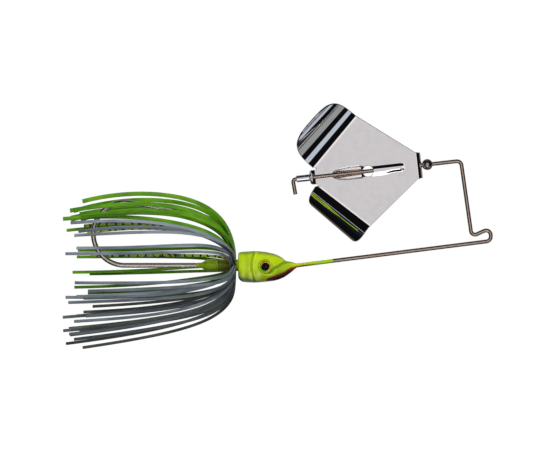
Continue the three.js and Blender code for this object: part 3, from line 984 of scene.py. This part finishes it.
def build_rivet():
    flange_r = (RIVET_BOX[1].y - RIVET_BOX[0].y) / 2
    middle = arm_distance(*RIVET_BOX)
    rear, front = middle - RIVET_HALF, middle + RIVET_HALF
    profile = fillet([
        (rear, BORE_R + 0.02),
        (rear, RIVET_BARREL_R, 0.1),
        (front - 0.62, RIVET_BARREL_R, 0.14),
        (front - 0.42, flange_r * 0.97, 0.1),
        (front, flange_r, 0.16),
        (front, BORE_R, 0.05),
        (rear, BORE_R),
    ], step=15)
    verts, faces = lathe([(p.x, p.y) for p in profile[:-1]], 64, closed=True)
    metal = polished_material("rivet_metal", rgba(232, 234, 240), 0.10, 0.03)
    rivet = piece("rivet_tube", on_arm(verts), faces, metal, "rivet", ["rivet"], "rivet_metal")
    sharpen(rivet, 45)


# ------------ blade
# The blade is made as its flat blank, (s, t) along and up from the hole, and then folded.

SHEET = 0.5
SHEET_LEAN = 6 * DEG
BEND_START = Vector((-16.5, 3.8))
BEND_END = Vector((-1.8, 17.9))
WING_HALF = 10.75
WING_CENTRE = 9.6
WING_DEPTH = 13.8
WING_FROM = -2.5  # only metal between these distances along a bend line, and clear of the arm, is rolled
WING_TO = 23.0
WING_CLEAR = 2.9
WING_POWER = 2.8  # 2 would give an elliptical wing, and more gives squarer corners
WING_SWEEP = 0.7  # the wing's outer edge sits this much ahead of its bend line
UPPER_CURL = (15.4, 13.4)  # the radius a wing is rolled to at the rear end and at the front end of its bend
LOWER_CURL = (8.2, 10.0)
PRESS_TURN = 20 * DEG  # the press bends the sheet this much along the bend line, before the wing's curl
PRESS_FROM = -2.0
PRESS_TO = 0.35
REAR_FOLD_R = 1.0
FRONT_FOLD_R = 1.5
REAR_FOLD = -16.6
FRONT_FOLD = 15.2
REAR_TAB_HALF = 2.3
FRONT_TAB_HALF = 4.1
REAR_TAB_CORNER = 1.0
FRONT_TAB_CORNER = 0.9
TAB_LENGTH = 4.8
HOLE_R = 1.75
TROUGH_LENGTH = 11.6
TROUGH_HALF = 2.15
TROUGH_DEPTH = 0.9
RIDGE_LENGTH = 12.6
RIDGE_HEIGHT = 0.55
EDGE_CHAMFER = 0.13
TAB_HOLE_R = 1.0
RIM_CLEAR = 0.16  # no spot of the mesh lies nearer to a rim than this
TABS = ((REAR_FOLD, REAR_FOLD_R, -1), (FRONT_FOLD, FRONT_FOLD_R, 1))

BEND_LENGTH = (BEND_END - BEND_START).length
ALONG_BEND = (BEND_END - BEND_START).normalized()
OUT_OF_BEND = Vector((-ALONG_BEND.y, ALONG_BEND.x))


def wing_rim(steps=44):
    """The wing's edge in the blank, from the bend line's front end round to its rear end."""
    rim = []
    for k in range(steps + 1):
        a = math.pi * k / steps
        c, s = math.cos(a), math.sin(a)
        p = WING_CENTRE + WING_HALF * math.copysign(abs(c) ** (2 / WING_POWER), c) + WING_SWEEP * s
        q = WING_DEPTH * abs(s) ** (2 / WING_POWER)
        rim.append(BEND_START + ALONG_BEND * p + OUT_OF_BEND * q)
    return rim


def blank_outline():
    """The blank's outline, counter-clockwise from the front tab's lower corner."""
    def mirrored(points):
        return [Vector((p.x, -p.y)) for p in reversed(points)]

    upper = [
        Vector((FRONT_FOLD + TAB_LENGTH, FRONT_TAB_HALF - FRONT_TAB_CORNER)),
        Vector((FRONT_FOLD + TAB_LENGTH - FRONT_TAB_CORNER, FRONT_TAB_HALF)),
        Vector((FRONT_FOLD + 1.2, FRONT_TAB_HALF)),
        Vector((FRONT_FOLD + 0.2, FRONT_TAB_HALF + 0.25)),
        *wing_rim(),
        Vector((BEND_START.x - 0.1, REAR_TAB_HALF + 0.6)),
        Vector((REAR_FOLD + 0.3, REAR_TAB_HALF)),
        Vector((REAR_FOLD - TAB_LENGTH + REAR_TAB_CORNER, REAR_TAB_HALF)),
        Vector((REAR_FOLD - TAB_LENGTH, REAR_TAB_HALF - REAR_TAB_CORNER)),
    ]
    return upper + mirrored(upper)


def circle(centre, radius, count):
    return [Vector((centre + radius * math.cos(2 * math.pi * k / count),
                    radius * math.sin(2 * math.pi * k / count))) for k in range(count)]


def densified(loop, spacing):
    dense = []
    for a, b in zip(loop, loop[1:] + loop[:1]):
        count = max(1, math.ceil((b - a).length / spacing))
        dense += [a.lerp(b, k / count) for k in range(count)]
    return dense


def inside(loop, p):
    """Whether a point is inside a closed loop."""
    found = False
    for a, b in zip(loop, loop[1:] + loop[:1]):
        if (a.y > p.y) != (b.y > p.y) and p.x < (b.x - a.x) * (p.y - a.y) / (b.y - a.y) + a.x:
            found = not found
    return found


def bend_depth(p):
    """How far a blank point is beyond its wing's bend line, and along it, with t taken as positive."""
    off = Vector((p.x, abs(p.y))) - BEND_START
    return off.dot(OUT_OF_BEND), off.dot(ALONG_BEND)


def trough(s, t):
    """Depth of the spoon-shaped hollow behind the hole: a crisp lip and a shallow slope to the middle."""
    reach = -s / TROUGH_LENGTH
    if reach >= 1:
        return 0
    half = TROUGH_HALF * math.sqrt(1 - reach**5) * (0.72 + 0.28 * ramp(-s, 0.4, 2.8))
    u = min(1, abs(t) / half)
    lip = 1 - ramp(u, 0.8, 1)
    slope = 1 - u
    return TROUGH_DEPTH * (0.6 * lip + 0.4 * slope) * ramp(reach, 0, 0.2) * ramp(reach, 1, 0.92)


def ridge(s, t):
    """Height of the ridge ahead of the hole: steep above, easy below, and fading towards the tab."""
    reach = s / RIDGE_LENGTH
    half = 1.5 if t > 0 else 2.05 - 0.7 * ramp(reach, 0.35, 0.7)
    across = 1 - ramp(abs(t) / half, 0.12, 1)
    return RIDGE_HEIGHT * across * ramp(reach, 0, 0.12) * ramp(reach, 1, 0.8)


def wing_profile(depth, radius):
    """How far out a wing's point lies and how far it has risen, by its distance over the bend line."""
    spans = 10
    pressed = min(depth, PRESS_TO)
    q, rise = PRESS_FROM, 0.0
    for k in range(spans):
        at = PRESS_FROM + (pressed - PRESS_FROM) * (k + 0.5) / spans
        turn = PRESS_TURN * ramp(at, PRESS_FROM, PRESS_TO)
        q += math.cos(turn) * (pressed - PRESS_FROM) / spans
        rise += math.sin(turn) * (pressed - PRESS_FROM) / spans
    if depth > PRESS_TO:
        end = PRESS_TURN + (depth - PRESS_TO) / radius
        q += radius * (math.sin(end) - math.sin(PRESS_TURN))
        rise += radius * (math.cos(PRESS_TURN) - math.cos(end))
    return q, rise


def fold(s, t):
    """Where a blank point ends up: (along, towards the viewer, up), on the leaning sheet."""
    depth, along = bend_depth(Vector((s, t)))
    if depth > PRESS_FROM and WING_FROM < along < WING_TO and abs(t) > WING_CLEAR:
        rear, front = UPPER_CURL if t > 0 else LOWER_CURL
        q, rise = wing_profile(depth, rear + (front - rear) * along / BEND_LENGTH)
        flat = BEND_START + ALONG_BEND * along + OUT_OF_BEND * q
        return flat.x, math.copysign(rise, t), math.copysign(flat.y, t)
    for fold_at, radius, way in TABS:
        past = (s - fold_at) * way
        if past > 0:
            a = min(past / radius, math.pi / 2)
            out = radius * math.sin(a)
            rise = radius * (1 - math.cos(a)) + max(0, past - radius * math.pi / 2)
            return fold_at + way * out, -way * rise, t
    return s, ridge(s, t) if s > 0 else -trough(s, t), t


def grid(across, down, spacing, offset):
    """Rows of spots over a rectangle of the blank, every other row shifted."""
    low, high = across
    spots = []
    for i in range(math.ceil((high - low) / spacing)):
        for j in range(math.ceil((down[1] - down[0]) / spacing) + 1):
            spots.append(Vector((low + i * spacing, down[0] + j * spacing + offset * (i % 2))))
    return spots


def wing_rows():
    """Spots in rows along the bend line of the upper wing, closest together where the press bends it."""
    spots = []
    depth = PRESS_FROM - 0.3
    while depth < WING_DEPTH:
        spots += [BEND_START + ALONG_BEND * (k * 0.9 - 1.5) + OUT_OF_BEND * depth for k in range(26)]
        depth += 0.13 if depth < PRESS_TO + 0.3 else 0.3
    return spots


def in_wing(p):
    return bend_depth(p)[0] > PRESS_FROM - 0.4 and abs(p.y) > 3.0


def blank_spots():
    """Spots inside the blank: close together in the channels and folds, in rows along the wings' bends."""
    pressed = (-TROUGH_HALF - 0.4, TROUGH_HALF + 0.4)
    tab = (-FRONT_TAB_HALF - 1, FRONT_TAB_HALF + 1)
    fine, folds, plain = 0.2, 0.3, 1.2
    middle = grid((-13, 14), pressed, fine, 0.1)
    middle += grid((-22, -13), tab, folds, 0.1) + grid((14, 20), tab, folds, 0.1)
    flat = [p for p in grid((-20, 15), (-18, 18), plain, 0.5) if abs(p.y) > pressed[1] + 0.3]
    wings = [Vector((p.x, side * p.y)) for side in (1, -1) for p in wing_rows()]
    return [p for p in middle + flat if not in_wing(p)] + [p for p in wings if in_wing(p)]


def tab_hole_at(fold_at, radius, way):
    """How far past a tab's fold the arm passes through it, along the blank."""
    edge = fold_at + way * radius
    return radius * math.pi / 2 + abs(edge) * math.tan(SHEET_LEAN) - radius


def build_blade():
    outline = densified(blank_outline(), 0.5)
    holes = [circle(0, HOLE_R, 64)]
    holes += [circle(tab[0] + tab[2] * tab_hole_at(*tab), TAB_HOLE_R, 24) for tab in TABS]
    points, edges = [], []
    for loop in [outline] + holes:
        base = len(points)
        points += loop
        edges += [(base + k, base + (k + 1) % len(loop)) for k in range(len(loop))]
    rims = kdtree.KDTree(len(points))
    for index, p in enumerate(points):
        rims.insert(p.to_3d(), index)
    rims.balance()

    def in_metal(p):
        return inside(outline, p) and not any(inside(hole, p) for hole in holes)

    spots = [p for p in blank_spots() if rims.find(p.to_3d())[2] > RIM_CLEAR and in_metal(p)]
    flat, _, triangles, *_ = delaunay_2d_cdt(points + spots, edges, [], 0, 1e-4)
    kept = [f for f in triangles if in_metal((flat[f[0]] + flat[f[1]] + flat[f[2]]) / 3)]
    solid_sheet(flat, kept)


def folded(p):
    """Where a blank point ends up on the leaning sheet, before the sheet is hung on the arm."""
    s, towards, t = fold(p.x, p.y)
    return Matrix.Rotation(-SHEET_LEAN, 3, "Z") @ Vector((s, -towards, t))


def facing(p):
    """The folded sheet's direction towards its outer face at a blank point."""
    reach = 0.03
    along = folded(p + Vector((reach, 0))) - folded(p - Vector((reach, 0)))
    up = folded(p + Vector((0, reach))) - folded(p - Vector((0, reach)))
    return along.cross(up).normalized()


def rim_steps(flat, faces):
    """The boundary edges of a flat mesh, and each rim point's outward direction."""
    sides = {(f[k], f[(k + 1) % 3]) for f in faces for k in range(3)}
    rim = sorted(side for side in sides if side[::-1] not in sides)
    outward = {}
    for a, b in rim:
        way = flat[b] - flat[a]
        for i in (a, b):
            outward[i] = outward.get(i, Vector((0, 0))) + Vector((way.y, -way.x)).normalized()
    return rim, {i: way.normalized() for i, way in outward.items()}


def solid_sheet(flat, faces):
    """Folds the blank, gives it its thickness and chamfered edges and hangs it on the arm."""
    rim, outward = rim_steps(flat, faces)
    count = len(flat)
    verts, normals = [], []
    for side in (1, -1):
        for i, p in enumerate(flat):
            spot = p - outward[i] * EDGE_CHAMFER if i in outward else p
            normals.append(side * facing(spot))
            verts.append(folded(spot) + normals[-1] * SHEET / 2)
    rim_at = {}
    for side in (1, -1):
        for i in outward:
            rim_at[i, side] = len(verts)
            verts.append(folded(flat[i]) + side * facing(flat[i]) * (SHEET / 2 - EDGE_CHAMFER))
    solid = [tuple(f) for f in faces]
    solid += [tuple(count + i for i in reversed(f)) for f in faces]
    broad = len(solid)
    for a, b in rim:
        front_a, front_b, back_a, back_b = rim_at[a, 1], rim_at[b, 1], rim_at[a, -1], rim_at[b, -1]
        solid.append((b, a, front_a, front_b))
        solid.append((front_b, front_a, back_a, back_b))
        solid.append((back_b, back_a, count + a, count + b))
    chrome = polished_material("blade_chrome", rgba(248, 246, 247), 0.02, 0.004)
    blade = piece("blade_sheet", on_arm(verts), solid, chrome, "blade", ["blade"], "blade_metal")
    turn = Matrix.Rotation(-ARM_PITCH, 3, "Y")
    shading = []
    for face in blade.data.polygons:
        own = face.index < broad
        shading += [turn @ normals[i] if own else face.normal.copy() for i in face.vertices]
    blade.data.normals_split_custom_set(shading)


# ------------ skirt

HUB_X = -0.8
HUB_R = 2.12
RING_PITCH = 0.5
RING_ORDER = (0, 2, 3, 1)
RING_SCALE = (1, 0.94, 0.88, 0.82)
HOOK_SECTOR = 13 * DEG
STRAND_COUNT = sum(name.startswith("strand_") for name in frame["nodes"])
STRAND_W = 0.95
CROWN_EXTRA_W = 0.4  # strands near the top show their flats
STRAND_T = 0.35
STRAND_EDGE = 0.06
CORNER_TURN = (0.0, 1.0, 1.4, 2.4)  # how far round a strand each corner is, for its grain
UV_STEP = (7.3, 0.37)  # sets each strand's grain apart from the next one's


def strand_slot(name):
    return next(s["material_slot"] for s in frame["record"]["subparts"] if s["node"] == name)


PARTING = 86 * DEG  # on the viewer's side the strands part here and show the hook's shank
PARTING_PULL = 15 * DEG
PARTING_REACH = 40 * DEG
CLUMP = 19 * DEG  # strands gather in clumps about this far apart, most of all on the far side
FAR_SIDE = 266 * DEG
CROWN = 54 * DEG  # strands about this far from the top are drawn up against the ones above
CROWD_PULL = 12 * DEG


def parting(around):
    """How far a strand is pushed round the skirt at the hub, away from the parting."""
    off = around - PARTING
    return math.copysign(PARTING_PULL * bump(off, PARTING_REACH), off)


def tip_drift(around, rnd):
    """How far round the skirt a strand's free end has moved from its place at the hub."""
    from_top = math.remainder(around, 2 * math.pi)
    gather = 0.42 * bump(around - FAR_SIDE, 70 * DEG) + 0.3 * (0.5 - 0.5 * math.cos(around))
    clump = (round(around / CLUMP) * CLUMP - around) * gather
    crowd = math.copysign(CROWD_PULL * bump(abs(from_top) - CROWN, 18 * DEG), -from_top)
    return parting(around) * -0.35 + clump + crowd + rnd.uniform(-2.5, 2.5) * DEG


# A strand's curve leaves the hub straight out and then turns back. Each of its sizes is given for a strand
# at the side, with how much it changes from there to the top.
OUT_REACH = (19.5, 5.5)
BACK_REACH = (16, 14)
SHOULDER_R = (23, 4)
END_R = (23, -2.6)
LENGTH_SPREAD = (-4.5, 1.8)
END_SPREAD = (-1.8, 1.0)


def higher_up(size, up):
    return size[0] + size[1] * up


def around_hub(number):
    """A strand's place round the hub, from the top by way of the viewer's side."""
    return HOOK_SECTOR + (2 * math.pi - 2 * HOOK_SECTOR) / (STRAND_COUNT - 1) * (number - 1)


def strand_curve(number, low_x):
    """The middle line of a strand, and how far its flat is turned at each point."""
    rnd = random.Random(number)
    around = around_hub(number)
    ring_no = RING_ORDER[(number - 1) % len(RING_ORDER)]
    scale = RING_SCALE[ring_no]
    up = math.cos(around)
    hub = HUB_X - ring_no * RING_PITCH
    length = hub - low_x + rnd.uniform(*LENGTH_SPREAD)
    control = [
        (0, HUB_R),
        (0, scale * higher_up(OUT_REACH, up)),
        (higher_up(BACK_REACH, up), scale * higher_up(SHOULDER_R, up)),
        (length, scale * higher_up(END_R, up) + rnd.uniform(*END_SPREAD)),
    ]
    drift = tip_drift(around, rnd)
    ripple = rnd.uniform(0, 2 * math.pi)
    sag = -1.2 * abs(math.sin(around)) * rnd.uniform(0.4, 1.4)
    to_face = around - (90 if around < math.pi else 270) * DEG
    face_viewer = to_face * rnd.uniform(0.75, 1.0)
    twist = rnd.uniform(-25, 25) * DEG
    rows = 44
    centres, turns = [], []
    for i in range(rows + 1):
        t = i / rows
        weights = ((1 - t) ** 3, 3 * (1 - t) ** 2 * t, 3 * (1 - t) * t**2, t**3)
        back = sum(w * c[0] for w, c in zip(weights, control))
        radius = sum(w * c[1] for w, c in zip(weights, control))
        angle = around + parting(around) * ramp(t, 0, 0.12) + drift * ramp(t, 0.15, 0.9)
        spot = Vector((hub - back, -radius * math.sin(angle), radius * math.cos(angle)))
        spot.z += sag * ramp(t, 0.2, 1.0) + 0.3 * math.sin(ripple + 5 * t) * ramp(t, 0.2, 0.6)
        centres.append(spot)
        turns.append(face_viewer * ramp(t, 0.08, 0.4) + twist * ramp(t, 0.35, 1.0))
    side = Vector((0, math.cos(around), math.sin(around)))
    return centres, turns, side


def strand_shade_and_tone(number):
    """Painted shade of a strand, as its object colour: those underneath are darkened for the skirt's own
    shade, with an olive cast on the far side, and each strand is a random amount darker.
    """
    rnd = random.Random(1000 + number)
    around = around_hub(number)
    under = ramp(around, 105 * DEG, 150 * DEG) * ramp(around, 275 * DEG, 235 * DEG)
    far = under * ramp(around, 150 * DEG, 200 * DEG) * ramp(around, 262 * DEG, 245 * DEG)
    tint = 1 - 0.5 * under - rnd.uniform(0, 0.22)
    return tint, tint, tint * (1 - 0.3 * far), 1


def build_strand(number, materials):
    name = f"strand_{number:02d}"
    centres, turns, side = strand_curve(number, box_mm(name)[0].x)
    verts, uvs = [], []
    height = centres[len(centres) // 2].z
    crown = ramp(height, 10, 15) * ramp(height, 24, 22)
    half_w, half_t = (STRAND_W + CROWN_EXTRA_W * crown) / 2, STRAND_T / 2
    corner = [(half_w, half_t), (-half_w, half_t), (-half_w, -half_t), (half_w, -half_t)]
    last = len(centres) - 1
    reach = 0
    for i, spot in enumerate(centres):
        along = (centres[min(i + 1, last)] - centres[max(i - 1, 0)]).normalized()
        reach += (spot - centres[max(i - 1, 0)]).length
        flat = (side - along * side.dot(along)).normalized()
        flat = Matrix.Rotation(turns[i], 3, along) @ flat
        thick = along.cross(flat)
        for k, (w, t) in enumerate(corner):
            verts.append(spot + flat * w + thick * t)
            uvs.append((reach + number * UV_STEP[0], CORNER_TURN[k] + number * UV_STEP[1]))
    faces = skin(len(centres), 4)
    slot = strand_slot(name)
    body = next(b for b, members in frame["record"]["behaviour"]["bodies"].items() if name in members)
    strand = piece(f"silicone_{name}", verts, faces, materials[slot], body, [name], slot, uvs)
    # each strand's painted shade and random tone, as its object colour
    strand.color = strand_shade_and_tone(number)
    sharpen(strand, 40)
    bevel(strand, STRAND_EDGE, 50)


def build_skirt():
    green = silicone_material("silicone_green", rgba(112, 170, 26), rgba(66, 124, 10))
    grey = silicone_material("silicone_grey", rgba(142, 150, 160), rgba(96, 106, 112), rgba(206, 214, 226))
    barred_green = silicone_material("silicone_barred", rgba(186, 206, 24), rgba(140, 176, 16), bars=True)
    materials = {"silicone_green": green, "silicone_grey": grey, "silicone_barred": barred_green}
    for number in range(1, STRAND_COUNT + 1):
        build_strand(number, materials)


def build_band():
    low, high = BAND_BOX
    outer, inner = high.z, 1.5
    profile = fillet([
        (low.x, inner),
        (low.x, outer, 0.25),
        (low.x + 1.6, outer - 0.04, 0.5),
        (high.x, outer, 0.25),
        (high.x, inner, 0.05),
        (low.x, inner),
    ], step=15)
    verts, faces = lathe([(p.x, p.y) for p in profile[:-1]], 48, closed=True)
    band = piece("skirt_band_ring", verts, faces, band_material(), "skirt", ["skirt_band"], "band_rubber")
    sharpen(band, 50)


# ------------ studio


def rings(n, angle, bands):
    """Light by angle from the viewer in degrees: each band is (start, level there, level at its end)."""
    stops = []
    for (start, first, last), (end, _, _) in zip(bands, bands[1:] + [(180, None, None)]):
        stops += [(min(start + BAND_SOFT, end), first), (max(end - BAND_SOFT, start), last)]
    return n.ramp(angle, [(at / 180, level) for at, level in stops])


def window(n, value, low, high, soft):
    """1 where a value is between low and high, falling off softly outside."""
    rise = n.steps(value, low - soft, low + soft)
    fall = n.steps(value, high + soft, high - soft)
    return n.times(rise, fall)


# What polished metal mirrors, by angle from the viewer in degrees: the bright tent round the camera,
# then black flags, with strips of light between them on the side that the blade's wings face.
BAND_SOFT = 0.35
BLACK = (0.004, 0.004, 0.005)
STRIP = (0.50, 0.57, 0.64)
GREY = (0.31, 0.32, 0.32)
TENT = (0.64, 0.625, 0.635)
LAMP = (1.0, 0.97, 0.94)
CORE = [(0, TENT, TENT), (16, TENT, LAMP), (31, BLACK, BLACK)]
SKY = [*CORE, (104, (0.05, 0.05, 0.055), GREY), (135, GREY, TENT)]
WING_FORWARD = [
    *CORE,
    (46, STRIP, STRIP),
    (58, BLACK, BLACK),
    (73, GREY, GREY),
    (92, (0.03, 0.03, 0.03), (0.05, 0.05, 0.05)),
    (95.5, GREY, GREY),
    (101, BLACK, BLACK),
    (107.5, (0.42, 0.42, 0.42), (0.3, 0.3, 0.3)),
    (110, BLACK, BLACK),
    (122, (0.26, 0.19, 0.14), (0.1, 0.07, 0.05)),
    (127, BLACK, BLACK),
]
WING_REARWARD = [
    *CORE,
    (69.5, (0.62, 0.64, 0.66), (0.62, 0.64, 0.66)),
    (71, (0.010, 0.014, 0.022), (0.006, 0.008, 0.012)),
    (100, BLACK, BLACK),
    (141, (0.08, 0.065, 0.055), (0.13, 0.11, 0.09)),
]


def world():
    """White to the camera, soft to matt surfaces, and a studio with black flags to polished ones."""
    sky = bpy.data.worlds.new("studio")
    bpy.context.scene.world = sky
    n = Nodes(sky)
    background = n.tree.nodes["Background"]
    way = n.add("TexCoord").outputs["Generated"]
    x, y, z = n.add("SeparateXYZ", {0: way}).outputs
    angle = n.math("DIVIDE", n.math("ARCCOSINE", n.times(y, -1.0)), math.pi)
    turn = n.math("ARCTAN2", x, n.times(z, -1.0))

    mirror = rings(n, angle, SKY)
    forward = window(n, turn, 14 * DEG, 58 * DEG, 6 * DEG)
    rearward = window(n, turn, -72 * DEG, -26 * DEG, 6 * DEG)
    mirror = n.mix(forward, mirror, rings(n, angle, WING_FORWARD))
    mirror = n.mix(rearward, mirror, rings(n, angle, WING_REARWARD))
    softbox_turn = window(n, turn, -16 * DEG, 6 * DEG, 4 * DEG)
    softbox = n.times(softbox_turn, window(n, angle, 0.18, 0.28, 0.012))
    mirror = n.mix(softbox, mirror, (2.2, 2.2, 2.2, 1))
    overhead = n.times(n.steps(z, 0.97, 0.995), 0.8)
    mirror = n.mix(overhead, mirror, (0.30, 0.33, 0.37, 1))

    path = n.add("LightPath")
    colour = n.mix(path.outputs["Is Glossy Ray"], (0.26, 0.26, 0.26, 1), mirror)
    colour = n.mix(path.outputs["Is Camera Ray"], colour, (1, 1, 1, 1))
    n.put(background.inputs[0], colour)


def area_light(name, place, target, size, power):
    data = bpy.data.lights.new(name, "AREA")
    data.shape = "DISK"
    data.size = size
    data.energy = power
    lamp = bpy.data.objects.new(name, data)
    bpy.context.scene.collection.objects.link(lamp)
    lamp.location = place
    lamp.rotation_mode = "QUATERNION"
    lamp.rotation_quaternion = (Vector(target) - Vector(place)).to_track_quat("-Z", "Y")
    lamp.visible_glossy = False
    lamp.visible_camera = False


FLOOR_DROP = 0.12
FLOOR_REACH = 4.0


def studio():
    world()
    low, high = CAD_BOX
    middle = (low + high) / 2
    area_light("key", middle + Vector((-0.12, -0.50, 0.42)), middle, 0.30, 4.6)
    area_light("fill", middle + Vector((0.40, -0.50, -0.05)), middle, 0.35, 1.3)
    area_light("kick", middle + Vector((-0.15, 0.50, 0.25)), middle, 0.30, 3.0)
    build_floor(middle, low.z - FLOOR_DROP)


def build_floor(middle, height):
    """A pale floor that stays out of the metal's reflections."""
    floor_mesh = bpy.data.meshes.new("floor")
    corners = [(-1, -1), (1, -1), (1, 1), (-1, 1)]
    spots = [(middle.x + FLOOR_REACH * a, middle.y + FLOOR_REACH * b, height) for a, b in corners]
    floor_mesh.from_pydata(spots, [], [(0, 1, 2, 3)])
    n = MaterialNodes("pale_floor")
    cloud = n.add("TexNoise", {"Scale": 6.0}).outputs["Fac"]
    n.set(Base_Color=n.mix(cloud, (0.86, 0.86, 0.85, 1), (0.9, 0.9, 0.9, 1)), Roughness=0.9)
    n.set(Emission_Color=(1, 1, 1, 1), Emission_Strength=0.8)
    floor_mesh.materials.append(n.material)
    floor = bpy.data.objects.new("floor", floor_mesh)
    bpy.context.scene.collection.objects.link(floor)
    floor.visible_glossy = False
    floor.visible_diffuse = False


VIEW_WIDTH = 174.6
VIEW_CENTRE = Vector((11.7, 0, 12.8))


def camera():
    """Level, looking along +Y from far off, as the product was shot."""
    data = bpy.data.cameras.new("camera")
    data.lens = 200
    data.sensor_width = 36
    eye = bpy.data.objects.new("camera", data)
    bpy.context.scene.collection.objects.link(eye)
    distance = VIEW_WIDTH * data.lens / data.sensor_width
    eye.location = (VIEW_CENTRE + HEAD_REAR - Vector((0, distance, 0))) * MM
    eye.rotation_euler = (math.pi / 2, 0, 0)
    data.clip_start, data.clip_end = 0.01, 10
    bpy.context.scene.camera = eye


build_wire()
build_hook()
build_head()
build_eyes()
build_bead()
build_rivet()
build_blade()
build_band()
build_skirt()
studio()
camera()

scene = bpy.context.scene
scene.view_settings.view_transform = "Standard"
scene.view_settings.look = "None"
